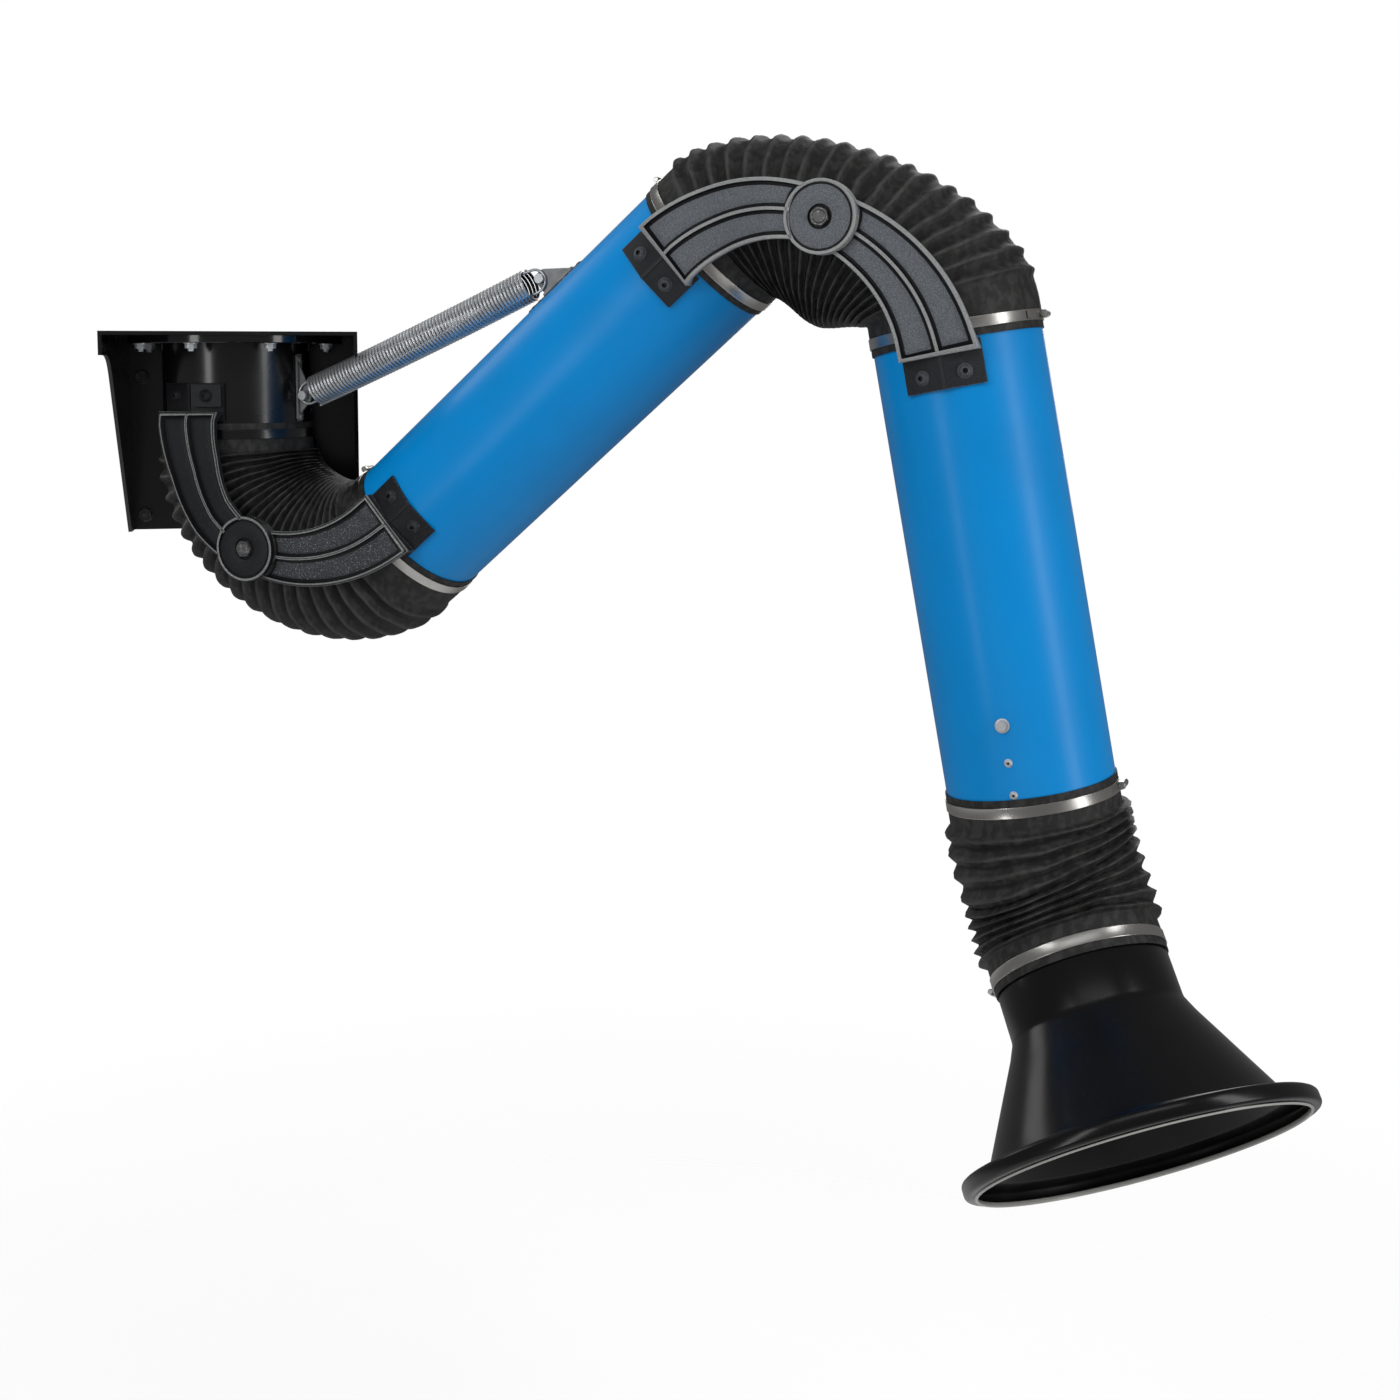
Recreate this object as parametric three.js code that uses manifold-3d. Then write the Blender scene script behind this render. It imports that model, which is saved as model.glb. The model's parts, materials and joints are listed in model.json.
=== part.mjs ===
// Wall-mounted fume extraction arm: a bracket with a swivel, two duct tubes joined by
// friction elbows outside flexible hoses, a counterbalance spring and a hood on a gimbal.
// Millimetres, +Z up. The origin is the middle of the bracket's rear face, +Y into the wall.
import * as THREE from 'three';
import { mergeVertices } from 'three/addons/utils/BufferGeometryUtils.js';
import Module from 'manifold-3d';

const wasm = await Module();
wasm.setup();

// Duct and general fits
const DUCT_OD = 203;
const DUCT_WALL = 1.5;
const SEAT_GAP = 0.3;
const SHAFT_GAP = 0.4;
const DUCT_SIDES = 48;
const BOLT_SIDES = 12;
const WASHER_SIDES = 16;
const PIN_SIDES = 8;
const HEX_SIDES = 6;
const CUT_OVERRUN = 1;
const JOIN_DEPTH = 0.5;

// Pose of the arm at rest, in degrees
const SWING = 32.45;
const INNER_RISE = 40.85;
const ELBOW_TURN = 120.53;
const HOOD_TILT = 16.9;
const HOOD_SWING = 27.7;

// Arm lengths
const SWIVEL_REACH = 152.6;
const SHOULDER_DROP = 144.4;
const PIVOT_OFFSET = 104.5;
const PIVOT_TO_DUCT = 130;
const INNER_TUBE_LENGTH = 615;
const OUTER_TUBE_LENGTH = 605;
const TUBE_TO_GIMBAL = 62;
const GIMBAL_TO_HOOD = 110;

// Wall bracket
const BRACKET_WIDTH = 335;
const BRACKET_HEIGHT = 290;
const BRACKET_DEPTH = 300;
const BRACKET_PLATE = 5;
const GUSSET_LIP = 32;
const GUSSET_FOOT = 42;
const GUSSET_TOP = 225;
const GUSSET_ROUND = 34;
const GUSSET_STEPS = 8;
const WALL_BOLT_INSET = 21;
const WALL_BOLT_LOW = 23;
const WALL_BOLT_HIGH = 62;
const WALL_BOLT_RADIUS = 5;
const WALL_BOLT_HEAD = 6;
const WALL_BOLT_HEAD_RADIUS = 9.5;
const WALL_WASHER_RADIUS = 11;
const WALL_WASHER = 2;

// Swivel
const FLANGE_WIDTH = 22;
const FLANGE_THICKNESS = 4;
const SLIP_RING = 2.4;
const RETAINER_LIP = 3;
const RETAINER_RIM = 22;
const COLLAR_RUNNING_GAP = 4;
const RING_SIDES = 36;

// Elbow castings. The three band places are shares of the band's turn, from saddle to hub.
const FOOT_REACH = 181;
const FOOT_WIDTH = 94;
const HUB_WIDTH = 62;
const HUB_RADIUS = 43.5;
const BAND_THICKNESS = 4.5;
const BAND_OVER_CLAMP = 0.07;
const BAND_OVER_HOSE = 0.36;
const BAND_AT_HUB = 0.7;
const RIM_HEIGHT = 3.5;
const RIM_WIDTH = 7;
const RIM_SLOPE = 1.5;
const RIB_WIDTH = 7;
const HUB_FLOOR = 121;
const HUB_THICKNESS = 8;
const HUB_RIM = 5;
const HUB_DISH = 1.5;
const NUT_WELL_RADIUS = 14;
const NUT_WELL_DEPTH = 3;
const FRICTION_DISC = 1.4;
const FRICTION_DISC_INSET = 1;
const BAND_CLEARANCE = 3.5;
const SADDLE_ANGLE = 14.5;
const SADDLE_THICKNESS = 3.2;
const SADDLE_INNER_END = 168;
const SADDLE_OUTER_END = 220;
const PIVOT_BOLT_RADIUS = 8;
const PIVOT_HEAD_RADIUS = 12;
const PIVOT_HEAD = 4;
const PIVOT_NUT_RADIUS = 11.5;
const PIVOT_NUT = 6;
const PIVOT_BOLT_TIP = 2;
const HUB_SIDES = 20;

// Flexible hoses and their clamps
const CUFF_OVERLAP = 33;
const CUFF_WALL = 1.6;
const HOSE_PEAK = 110.5;
const HOSE_VALLEY = 105;
const ELBOW_HOSE_WALL = 5;
const HOOD_HOSE_WALL = 2.4;
const HOSE_SIDES = 16;
const ELBOW_RIBS = 18;
const RIB_PEAK_AT = 0.4;
const RIB_VALLEY_AT = 0.8;
const HOOD_RIBS = 9;
const RIBS_PER_BORE_RING = 3;
const BORE_RING_CROWDING = 0.5;
const SHOULDER_HOSE_SWEEP = 122;
const ELBOW_HOSE_SWEEP = 88;
const HOOD_HOSE_SWEEP = 58;
const CLAMP_WIDTH = 13;
const CLAMP_BAND = 1.2;
const CLAMP_FROM_END = 20;
const CLAMP_SIDES = 24;
const CLAMP_SHELL_LENGTH = 15;
const CLAMP_SHELL_WIDTH = 9;
const CLAMP_SHELL_HEIGHT = 9;
const CLAMP_SCREW_LENGTH = 30;
const CLAMP_SCREW_RADIUS = 3.4;
const CLAMP_SCREW_RISE = 5;

// Counterbalance spring and its anchors
const SPRING_WIRE = 3.6;
const SPRING_OD = 36;
const SPRING_CURLS = 38;
const CURL_STEPS = 8;
const WIRE_SIDES = 5;
const HOOK_STEPS = 4;
const SPRING_END_GAP = 19;
const ANCHOR_BOLT_RADIUS = 4;
const ANCHOR_BOLT_HEAD_RADIUS = 7;
const ANCHOR_BOLT_HEAD = 4;
const ANCHOR_PLATE = 3;
const ANCHOR_STRIP = 3;
const ANCHOR_STRIP_WIDTH = 24;
const ANCHOR_EDGE = 9;
const LOWER_EAR_BELOW = 27;
const LOWER_EAR_ABOVE = 45;
const LOWER_ANCHOR_HEIGHT = 202.4;
const LOWER_STRIP_TOP = 260;
const LOWER_STRIP_BOTTOM = 167;
const UPPER_ANCHOR_ALONG = 518.6;
const UPPER_ANCHOR_OUT = 27;
const UPPER_PLATE_LENGTH = 46;
const UPPER_STRIP_START = 478;
const UPPER_STRIP_END = 579;

// Hood and gimbal
const HOOD_COLLAR = 94;
const HOOD_CONE = 126;
const HOOD_MOUTH_RADIUS = 170;
const HOOD_WALL = 1.8;
const HOOD_RIM = 21;
const HOOD_RIM_OUT = 33;
const HOOD_RIM_ROUND = 5.5;
const HOOD_RIM_LIP = 16;
const YOKE_WIDTH = 26;
const YOKE_THICKNESS = 3;
const YOKE_END = 14;
const YOKE_JOGGLE = 10;
const YOKE_JOGGLE_LENGTH = 22;
const OUTER_YOKE_GRIP = 136;
const HOOD_YOKE_GRIP = 84;
const GIMBAL_RING_WALL = 5;
const GIMBAL_RING_WIDTH = 20;
const GIMBAL_SIDE_GAP = 0.6;
const GIMBAL_PIN_RADIUS = 4;
const GIMBAL_PIN_HEAD_RADIUS = 7;
const GIMBAL_PIN_HEAD = 1.8;
const GIMBAL_SIDES = 24;
const STRAP_END_STEPS = 6;

// Values that follow from the sizes above
const rad = THREE.MathUtils.degToRad;
const ductRadius = DUCT_OD / 2;
const ductBore = ductRadius - DUCT_WALL;
const seatRadius = ductRadius + SEAT_GAP;
const cuffBore = seatRadius / Math.cos(Math.PI / HOSE_SIDES);
const cuffOuter = cuffBore + CUFF_WALL;
const clampBore = cuffOuter + SEAT_GAP;
const clampOuter = clampBore / Math.cos(Math.PI / CLAMP_SIDES) + CLAMP_BAND;
const pivotSpan = INNER_TUBE_LENGTH + 2 * PIVOT_TO_DUCT;
const shoulderZ = -SHOULDER_DROP;
const collarEnd = shoulderZ + PIVOT_TO_DUCT;
const outerTubeEnd = PIVOT_TO_DUCT + OUTER_TUBE_LENGTH;
const gimbalAlong = outerTubeEnd + TUBE_TO_GIMBAL;
const outerHubFloor = HUB_FLOOR + HUB_THICKNESS + FRICTION_DISC + 2 * SEAT_GAP;

const finishes = {
  bracket: { color: 0x0b0b0d, roughness: 0.22, metalness: 0.1 },
  casting: { color: 0x1b1c1e, roughness: 0.55, metalness: 0.2 },
  blue: { color: 0x0076bc, roughness: 0.28, metalness: 0.05 },
  hose: { color: 0x1c1d1f, roughness: 0.85, metalness: 0 },
  steel: { color: 0xb9bcc0, roughness: 0.28, metalness: 0.95 },
  zinc: { color: 0xa9adb1, roughness: 0.35, metalness: 0.9 },
  hood: { color: 0x08080a, roughness: 0.2, metalness: 0.1 },
  slip: { color: 0xd9d7cf, roughness: 0.6, metalness: 0 },
  friction: { color: 0x4a4038, roughness: 0.9, metalness: 0 },
};

// Solid helpers

/** Shares corners, drops collapsed triangles and turns the faces outward. */
function closed(geometry) {
  const bare = new THREE.BufferGeometry();
  bare.setAttribute('position', geometry.getAttribute('position').clone());
  if (geometry.index) bare.setIndex(geometry.index.clone());
  const merged = mergeVertices(bare, 1e-4);
  const at = merged.getAttribute('position');
  const [a, b, c] = [new THREE.Vector3(), new THREE.Vector3(), new THREE.Vector3()];
  const kept = [];
  let volume = 0;
  for (let i = 0; i < merged.index.count; i += 3) {
    const [p, q, r] = [0, 1, 2].map((k) => merged.index.getX(i + k));
    if (p === q || q === r || r === p) continue;
    a.fromBufferAttribute(at, p);
    b.fromBufferAttribute(at, q);
    c.fromBufferAttribute(at, r);
    volume += a.dot(b.cross(c));
    kept.push(p, q, r);
  }
  if (volume < 0) kept.reverse();
  merged.setIndex(kept);
  return merged;
}

function toSolid(geometry) {
  const shape = closed(geometry);
  const vertProperties = new Float32Array(shape.getAttribute('position').array);
  const triVerts = new Uint32Array(shape.index.array);
  return new wasm.Manifold(new wasm.Mesh({ numProp: 3, vertProperties, triVerts }));
}

function fromSolid(solid) {
  const mesh = solid.getMesh();
  const geometry = new THREE.BufferGeometry();
  const points = [];
  for (let i = 0; i < mesh.vertProperties.length; i += mesh.numProp) {
    points.push(mesh.vertProperties[i], mesh.vertProperties[i + 1], mesh.vertProperties[i + 2]);
  }
  geometry.setAttribute('position', new THREE.Float32BufferAttribute(points, 3));
  geometry.setIndex(Array.from(mesh.triVerts));
  return geometry;
}

function join(...geometries) {
  return fromSolid(geometries.map(toSolid).reduce((whole, next) => whole.add(next)));
}

function cut(geometry, ...tools) {
  return fromSolid(tools.map(toSolid).reduce((whole, next) => whole.subtract(next), toSolid(geometry)));
}

function overlap(one, other) {
  return fromSolid(toSolid(one).intersect(toSolid(other)));
}

/** A turned piece about Z from [radius, height] pairs that close on themselves or on the axis. */
function turned(profile, sides) {
  const points = profile.map(([radius, height]) => new THREE.Vector2(radius, height));
  if (profile[0][0] > 0) points.push(points[0].clone());
  return closed(new THREE.LatheGeometry(points, sides).rotateX(Math.PI / 2));
}

function ringOf(inner, outer, bottom, top, sides) {
  return turned([[inner, bottom], [outer, bottom], [outer, top], [inner, top]], sides);
}

function rod(radius, bottom, top, sides) {
  return turned([[0, bottom], [radius, bottom], [radius, top], [0, top]], sides);
}

/** Lays a piece built along +Z out along +X. */
function alongX(geometry) {
  return geometry.rotateY(Math.PI / 2);
}

/** Lays a piece built along +Z out along -Y, the front of the arm, with what was +Y turned up. */
function alongFront(geometry) {
  return geometry.rotateX(Math.PI / 2);
}

/** A flat piece: the outline of [x, y] pairs, from z = bottom to z = top. */
function slab(outline, bottom, top) {
  const shape = new THREE.Shape(outline.map(([x, y]) => new THREE.Vector2(x, y)));
  const geometry = new THREE.ExtrudeGeometry(shape, { depth: top - bottom, bevelEnabled: false });
  return closed(geometry.translate(0, 0, bottom));
}

function block(x0, x1, y0, y1, z0, z1) {
  return slab([[x0, y0], [x1, y0], [x1, y1], [x0, y1]], z0, z1);
}

function mirrored(geometry) {
  return closed(geometry.clone().scale(1, -1, 1));
}

/** Skins rings of equal count; the chain of rings closes on itself or is capped at both ends. */
function skin(rings, cap) {
  const count = rings[0].length;
  const points = rings.flat().flatMap((point) => point.toArray());
  const faces = [];
  const last = cap ? rings.length - 1 : rings.length;
  for (let i = 0; i < last; i += 1) {
    const next = (i + 1) % rings.length;
    for (let k = 0; k < count; k += 1) {
      const right = (k + 1) % count;
      faces.push(i * count + k, i * count + right, next * count + right);
      faces.push(i * count + k, next * count + right, next * count + k);
    }
  }
  if (cap) {
    const outline = cap.map(([x, y]) => new THREE.Vector2(x, y));
    const end = (rings.length - 1) * count;
    for (const [a, b, c] of THREE.ShapeUtils.triangulateShape(outline, [])) {
      faces.push(c, b, a, end + a, end + b, end + c);
    }
  }
  const geometry = new THREE.BufferGeometry();
  geometry.setAttribute('position', new THREE.Float32BufferAttribute(points, 3));
  geometry.setIndex(faces);
  return closed(geometry);
}

function addPiece(group, name, geometry, finish) {
  const flat = geometry.toNonIndexed();
  flat.computeVertexNormals();
  const mesh = new THREE.Mesh(flat, new THREE.MeshStandardMaterial(finish));
  mesh.name = name;
  group.add(mesh);
  return mesh;
}

/** A group placed at a point with its local X, Y and Z along three given directions. */
function framed(parent, position, x, y, z) {
  const group = new THREE.Group();
  group.position.copy(position);
  group.quaternion.setFromRotationMatrix(new THREE.Matrix4().makeBasis(x, y, z));
  parent.add(group);
  return group;
}

const X = new THREE.Vector3(1, 0, 0);
const Y = new THREE.Vector3(0, 1, 0);
const Z = new THREE.Vector3(0, 0, 1);
const origin = new THREE.Vector3();
const opposite = (axis) => axis.clone().negate();

// Assembly frames: each arm group has its pivot at the origin and X along its tube
const arm = new THREE.Group();
const swivel = new THREE.Group();
swivel.position.set(0, -SWIVEL_REACH, 0);
swivel.rotation.z = -rad(SWING);
arm.add(swivel);
const innerArm = new THREE.Group();
innerArm.position.set(PIVOT_OFFSET, 0, shoulderZ);
innerArm.rotation.y = -rad(INNER_RISE);
swivel.add(innerArm);
const outerArm = new THREE.Group();
outerArm.position.set(pivotSpan, 0, -2 * PIVOT_OFFSET);
outerArm.rotation.y = rad(ELBOW_TURN);
innerArm.add(outerArm);
const gimbal = new THREE.Group();
gimbal.position.set(gimbalAlong, 0, PIVOT_OFFSET);
gimbal.rotation.y = -rad(HOOD_TILT);
outerArm.add(gimbal);
const hoodGroup = new THREE.Group();
hoodGroup.rotation.z = -rad(HOOD_SWING);
gimbal.add(hoodGroup);

// Wall bracket: back plate, shelf with the duct opening and two curved gussets
const halfWidth = BRACKET_WIDTH / 2;
const halfHeight = BRACKET_HEIGHT / 2;
const shelfFloor = halfHeight - BRACKET_PLATE;
const boltRows = [-halfHeight + WALL_BOLT_LOW, halfHeight - WALL_BOLT_HIGH];
const boltSides = [-halfWidth + WALL_BOLT_INSET, halfWidth - WALL_BOLT_INSET];

/** A side plate: a full-depth lip under the shelf, then a rounded corner and a sloping front edge. */
function gusset(left) {
  const foot = new THREE.Vector2(-GUSSET_FOOT, -halfHeight);
  const corner = new THREE.Vector2(-GUSSET_TOP, halfHeight - GUSSET_LIP);
  const slope = foot.clone().sub(corner).setLength(GUSSET_ROUND).add(corner);
  const profile = new THREE.Shape();
  profile.moveTo(0, -halfHeight);
  profile.lineTo(foot.x, foot.y);
  profile.lineTo(slope.x, slope.y);
  profile.quadraticCurveTo(corner.x, corner.y, corner.x - GUSSET_ROUND, corner.y);
  profile.lineTo(-BRACKET_DEPTH, corner.y);
  profile.lineTo(-BRACKET_DEPTH, halfHeight);
  profile.lineTo(0, halfHeight);
  const options = { depth: BRACKET_PLATE, bevelEnabled: false, curveSegments: GUSSET_STEPS };
  const geometry = new THREE.ExtrudeGeometry(profile, options);
  geometry.applyMatrix4(new THREE.Matrix4().makeBasis(Y, Z, X));
  return geometry.translate(left, 0, 0);
}

const shelf = block(-halfWidth, halfWidth, -BRACKET_DEPTH, 0, shelfFloor, halfHeight);
const backPlate = block(-halfWidth, halfWidth, -BRACKET_PLATE, 0, -halfHeight, halfHeight);
const ductHole = rod(ductBore, shelfFloor - CUT_OVERRUN, halfHeight + CUT_OVERRUN, DUCT_SIDES);
ductHole.translate(0, -SWIVEL_REACH, 0);
const boltHole = alongFront(
  rod(WALL_BOLT_RADIUS + SHAFT_GAP, -CUT_OVERRUN, BRACKET_PLATE + CUT_OVERRUN, BOLT_SIDES),
);
const boltHoles = boltRows.flatMap((z) => boltSides.map((x) => boltHole.clone().translate(x, 0, z)));
const bracketBody = join(shelf, backPlate, gusset(-halfWidth), gusset(halfWidth - BRACKET_PLATE));
addPiece(arm, 'wall_bracket', cut(bracketBody, ductHole, ...boltHoles), finishes.bracket);

// Wall bolts with washers, flush with the wall face
const washerFace = BRACKET_PLATE + SEAT_GAP;
const headFace = washerFace + WALL_WASHER;
boltRows.forEach((z, row) => boltSides.forEach((x, side) => {
  const shank = rod(WALL_BOLT_RADIUS, 0, headFace, BOLT_SIDES);
  const washer = rod(WALL_WASHER_RADIUS, washerFace, headFace, WASHER_SIDES);
  const head = rod(
    WALL_BOLT_HEAD_RADIUS,
    headFace - JOIN_DEPTH,
    headFace + WALL_BOLT_HEAD,
    HEX_SIDES,
  );
  const name = `wall_bolt_${row ? 'upper' : 'lower'}_${side ? 'right' : 'left'}`;
  addPiece(arm, name, alongFront(join(shank, washer, head)).translate(x, 0, z), finishes.bracket);
}));

// Swivel: slip ring, flanged collar and the retaining ring under the shelf
const flangeRadius = ductRadius + FLANGE_WIDTH;
const slipTop = shelfFloor - SEAT_GAP;
const slipFloor = slipTop - SLIP_RING;
const flangeTop = slipFloor - SEAT_GAP;
const flangeFloor = flangeTop - FLANGE_THICKNESS;
const lipTop = flangeFloor - SEAT_GAP;
const retainerFloor = lipTop - RETAINER_LIP;
const retainerBore = (flangeRadius + SHAFT_GAP) / Math.cos(Math.PI / RING_SIDES);
const slip = ringOf(ductBore, flangeRadius, slipFloor, slipTop, RING_SIDES);
addPiece(arm, 'slip_ring', slip.translate(0, -SWIVEL_REACH, 0), finishes.slip);
const retainer = turned([
  [ductRadius + COLLAR_RUNNING_GAP, retainerFloor],
  [retainerBore + RETAINER_RIM, retainerFloor],
  [retainerBore + RETAINER_RIM, slipTop],
  [retainerBore, slipTop],
  [retainerBore, lipTop],
  [ductRadius + COLLAR_RUNNING_GAP, lipTop],
], RING_SIDES);
// Where the swivel sits close to the wall the ring has a flat that clears the back plate
const plateSide = block(
  -halfWidth,
  halfWidth,
  -BRACKET_PLATE - SEAT_GAP,
  BRACKET_DEPTH,
  retainerFloor - CUT_OVERRUN,
  slipTop + CUT_OVERRUN,
);
const retainerSeated = retainer.translate(0, -SWIVEL_REACH, 0);
addPiece(arm, 'retaining_ring', cut(retainerSeated, plateSide), finishes.bracket);
addPiece(swivel, 'swivel_collar', turned([
  [ductBore, collarEnd],
  [ductRadius, collarEnd],
  [ductRadius, flangeFloor],
  [flangeRadius, flangeFloor],
  [flangeRadius, flangeTop],
  [ductBore, flangeTop],
], DUCT_SIDES), finishes.bracket);

// Duct tubes
function ductTube(start, length, axisZ) {
  const tube = ringOf(ductBore, ductRadius, start, start + length, DUCT_SIDES);
  return alongX(tube).translate(0, 0, axisZ);
}
addPiece(innerArm, 'inner_tube', ductTube(PIVOT_TO_DUCT, INNER_TUBE_LENGTH, -PIVOT_OFFSET), finishes.blue);
addPiece(outerArm, 'outer_tube', ductTube(PIVOT_TO_DUCT, OUTER_TUBE_LENGTH, PIVOT_OFFSET), finishes.blue);

// Elbow castings: a ribbed band that sweeps from a saddle on the duct to a hub on the pivot.
// Local frame: pivot at the origin, duct axis along X at z = -PIVOT_OFFSET, piece on the -Y side.
const bandTurn = 2 * Math.atan2(PIVOT_OFFSET, FOOT_REACH);
const bandRadius = FOOT_REACH / Math.sin(bandTurn);
const saddleCrest = seatRadius / Math.cos(rad(SADDLE_ANGLE));
const saddleFall = Math.tan(rad(SADDLE_ANGLE));
const holeRadius = PIVOT_BOLT_RADIUS + SHAFT_GAP;

function bandStations(hubFloor) {
  const foot = saddleCrest + SADDLE_THICKNESS / 2;
  const overClamp = clampOuter + BAND_CLEARANCE;
  const overHose = Math.max(HOSE_PEAK, overClamp) + BAND_CLEARANCE;
  const places = [
    [BAND_OVER_CLAMP, overClamp],
    [BAND_OVER_HOSE, overHose],
    [BAND_AT_HUB, hubFloor],
    [1, hubFloor],
  ];
  const stations = [{ at: 0, floor: foot, fall: saddleFall }];
  places.forEach(([at, floor], i) => {
    if (i > 0) {
      const [atBefore, floorBefore] = places[i - 1];
      stations.push({ at: (atBefore + at) / 2, floor: (floorBefore + floor) / 2, fall: 0 });
    }
    stations.push({ at, floor, fall: 0 });
  });
  return stations;
}

function bandSection(half) {
  const rimIn = half - RIM_WIDTH;
  const panel = rimIn - RIM_SLOPE;
  const rib = RIB_WIDTH / 2;
  const top = BAND_THICKNESS + RIM_HEIGHT;
  return [
    [0, 0], [half, 0], [half, top], [rimIn, top], [panel, BAND_THICKNESS],
    [rib + RIM_SLOPE, BAND_THICKNESS], [rib, top], [-rib, top], [-rib - RIM_SLOPE, BAND_THICKNESS],
    [-panel, BAND_THICKNESS], [-rimIn, top], [-half, top], [-half, 0],
  ];
}

function castingBand(hubFloor) {
  const rings = bandStations(hubFloor).map(({ at, floor, fall }) => {
    const angle = at * bandTurn;
    const [sin, cos] = [Math.sin(angle), Math.cos(angle)];
    const half = THREE.MathUtils.lerp(FOOT_WIDTH, HUB_WIDTH, at) / 2;
    const x = FOOT_REACH - bandRadius * sin;
    const z = -PIVOT_OFFSET + bandRadius * (1 - cos);
    return bandSection(half).map(([across, rise]) => {
      const drop = rise === 0 ? fall * Math.abs(across) : 0;
      return new THREE.Vector3(x + across * sin, -(floor - drop + rise), z + across * cos);
    });
  });
  return skin(rings, bandSection(FOOT_WIDTH / 2));
}

function castingSaddle() {
  const half = FOOT_WIDTH / 2;
  const edge = saddleCrest - half * saddleFall;
  const outline = [
    [-half, edge], [0, saddleCrest], [half, edge],
    [half, edge + SADDLE_THICKNESS], [0, saddleCrest + SADDLE_THICKNESS], [-half, edge + SADDLE_THICKNESS],
  ];
  const plate = slab(outline, SADDLE_INNER_END, SADDLE_OUTER_END);
  plate.applyMatrix4(new THREE.Matrix4().makeBasis(Z, Y.clone().negate(), X));
  return plate.translate(0, 0, -PIVOT_OFFSET);
}

function casting(outer) {
  const floor = outer ? outerHubFloor : HUB_FLOOR;
  const top = floor + HUB_THICKNESS;
  const well = top - HUB_DISH - NUT_WELL_DEPTH;
  const dishRadius = HUB_RADIUS - HUB_RIM;
  const profile = [[0, floor], [HUB_RADIUS, floor], [HUB_RADIUS, top], [0, top]];
  const hole = rod(holeRadius, floor - CUT_OVERRUN, top + CUT_OVERRUN, BOLT_SIDES);
  const body = join(castingBand(floor), castingSaddle(), alongFront(turned(profile, HUB_SIDES)));
  const tools = [alongFront(hole)];
  if (outer) {
    const dish = rod(dishRadius, top - HUB_DISH, top + CUT_OVERRUN, HUB_SIDES);
    const nutWell = rod(NUT_WELL_RADIUS, well, top, HUB_SIDES);
    tools.push(alongFront(dish), alongFront(nutWell));
  }
  return cut(body, ...tools);
}

const outerCasting = casting(true);
const innerCasting = casting(false);

// In a frame whose Y points to the front the piece on local -Y is the rear one
function addCastings(group, position, axes, name, geometry) {
  const frame = framed(group, position, ...axes);
  const frontIsY = axes[1].y < 0;
  addPiece(frame, `${name}_front`, frontIsY ? mirrored(geometry) : geometry.clone(), finishes.casting);
  addPiece(frame, `${name}_rear`, frontIsY ? geometry.clone() : mirrored(geometry), finishes.casting);
}

const shoulderPoint = new THREE.Vector3(PIVOT_OFFSET, 0, shoulderZ);
const elbowPoint = new THREE.Vector3(pivotSpan, 0, -2 * PIVOT_OFFSET);
addCastings(swivel, shoulderPoint, [Z, opposite(Y), X], 'collar_casting', outerCasting);
addCastings(innerArm, origin, [X, Y, Z], 'inner_lower_casting', innerCasting);
addCastings(innerArm, elbowPoint, [opposite(X), Y, opposite(Z)], 'inner_upper_casting', outerCasting);
addCastings(outerArm, origin, [X, opposite(Y), opposite(Z)], 'outer_casting', innerCasting);

// Friction discs, pivot bolts and nuts, carried by the outer casting of each pair
const discFloor = HUB_FLOOR + HUB_THICKNESS + SEAT_GAP;
const nutFloor = outerHubFloor + HUB_THICKNESS - HUB_DISH - NUT_WELL_DEPTH + SEAT_GAP;
const nutTop = nutFloor + PIVOT_NUT;
const headTop = HUB_FLOOR - SEAT_GAP;
const discTop = discFloor + FRICTION_DISC;
const discRadius = HUB_RADIUS - FRICTION_DISC_INSET;
const disc = alongFront(ringOf(holeRadius, discRadius, discFloor, discTop, HUB_SIDES));
const pivotBolt = alongFront(turned([
  [0, headTop - PIVOT_HEAD],
  [PIVOT_HEAD_RADIUS, headTop - PIVOT_HEAD],
  [PIVOT_HEAD_RADIUS, headTop],
  [PIVOT_BOLT_RADIUS, headTop],
  [PIVOT_BOLT_RADIUS, nutTop + PIVOT_BOLT_TIP],
  [0, nutTop + PIVOT_BOLT_TIP],
], BOLT_SIDES));
const pivotNut = alongFront(cut(
  rod(PIVOT_NUT_RADIUS, nutFloor, nutTop, HEX_SIDES),
  rod(holeRadius, nutFloor - CUT_OVERRUN, nutTop + CUT_OVERRUN, BOLT_SIDES),
));

function addPivot(group, position, name) {
  const frame = framed(group, position, X, Y, Z);
  for (const side of ['front', 'rear']) {
    const placed = (geometry) => (side === 'front' ? geometry.clone() : mirrored(geometry));
    addPiece(frame, `${name}_friction_disc_${side}`, placed(disc), finishes.friction);
    addPiece(frame, `${name}_bolt_${side}`, placed(pivotBolt), finishes.zinc);
    addPiece(frame, `${name}_nut_${side}`, placed(pivotNut), finishes.zinc);
  }
}
addPivot(swivel, shoulderPoint, 'shoulder');
addPivot(innerArm, elbowPoint, 'elbow');

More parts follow.
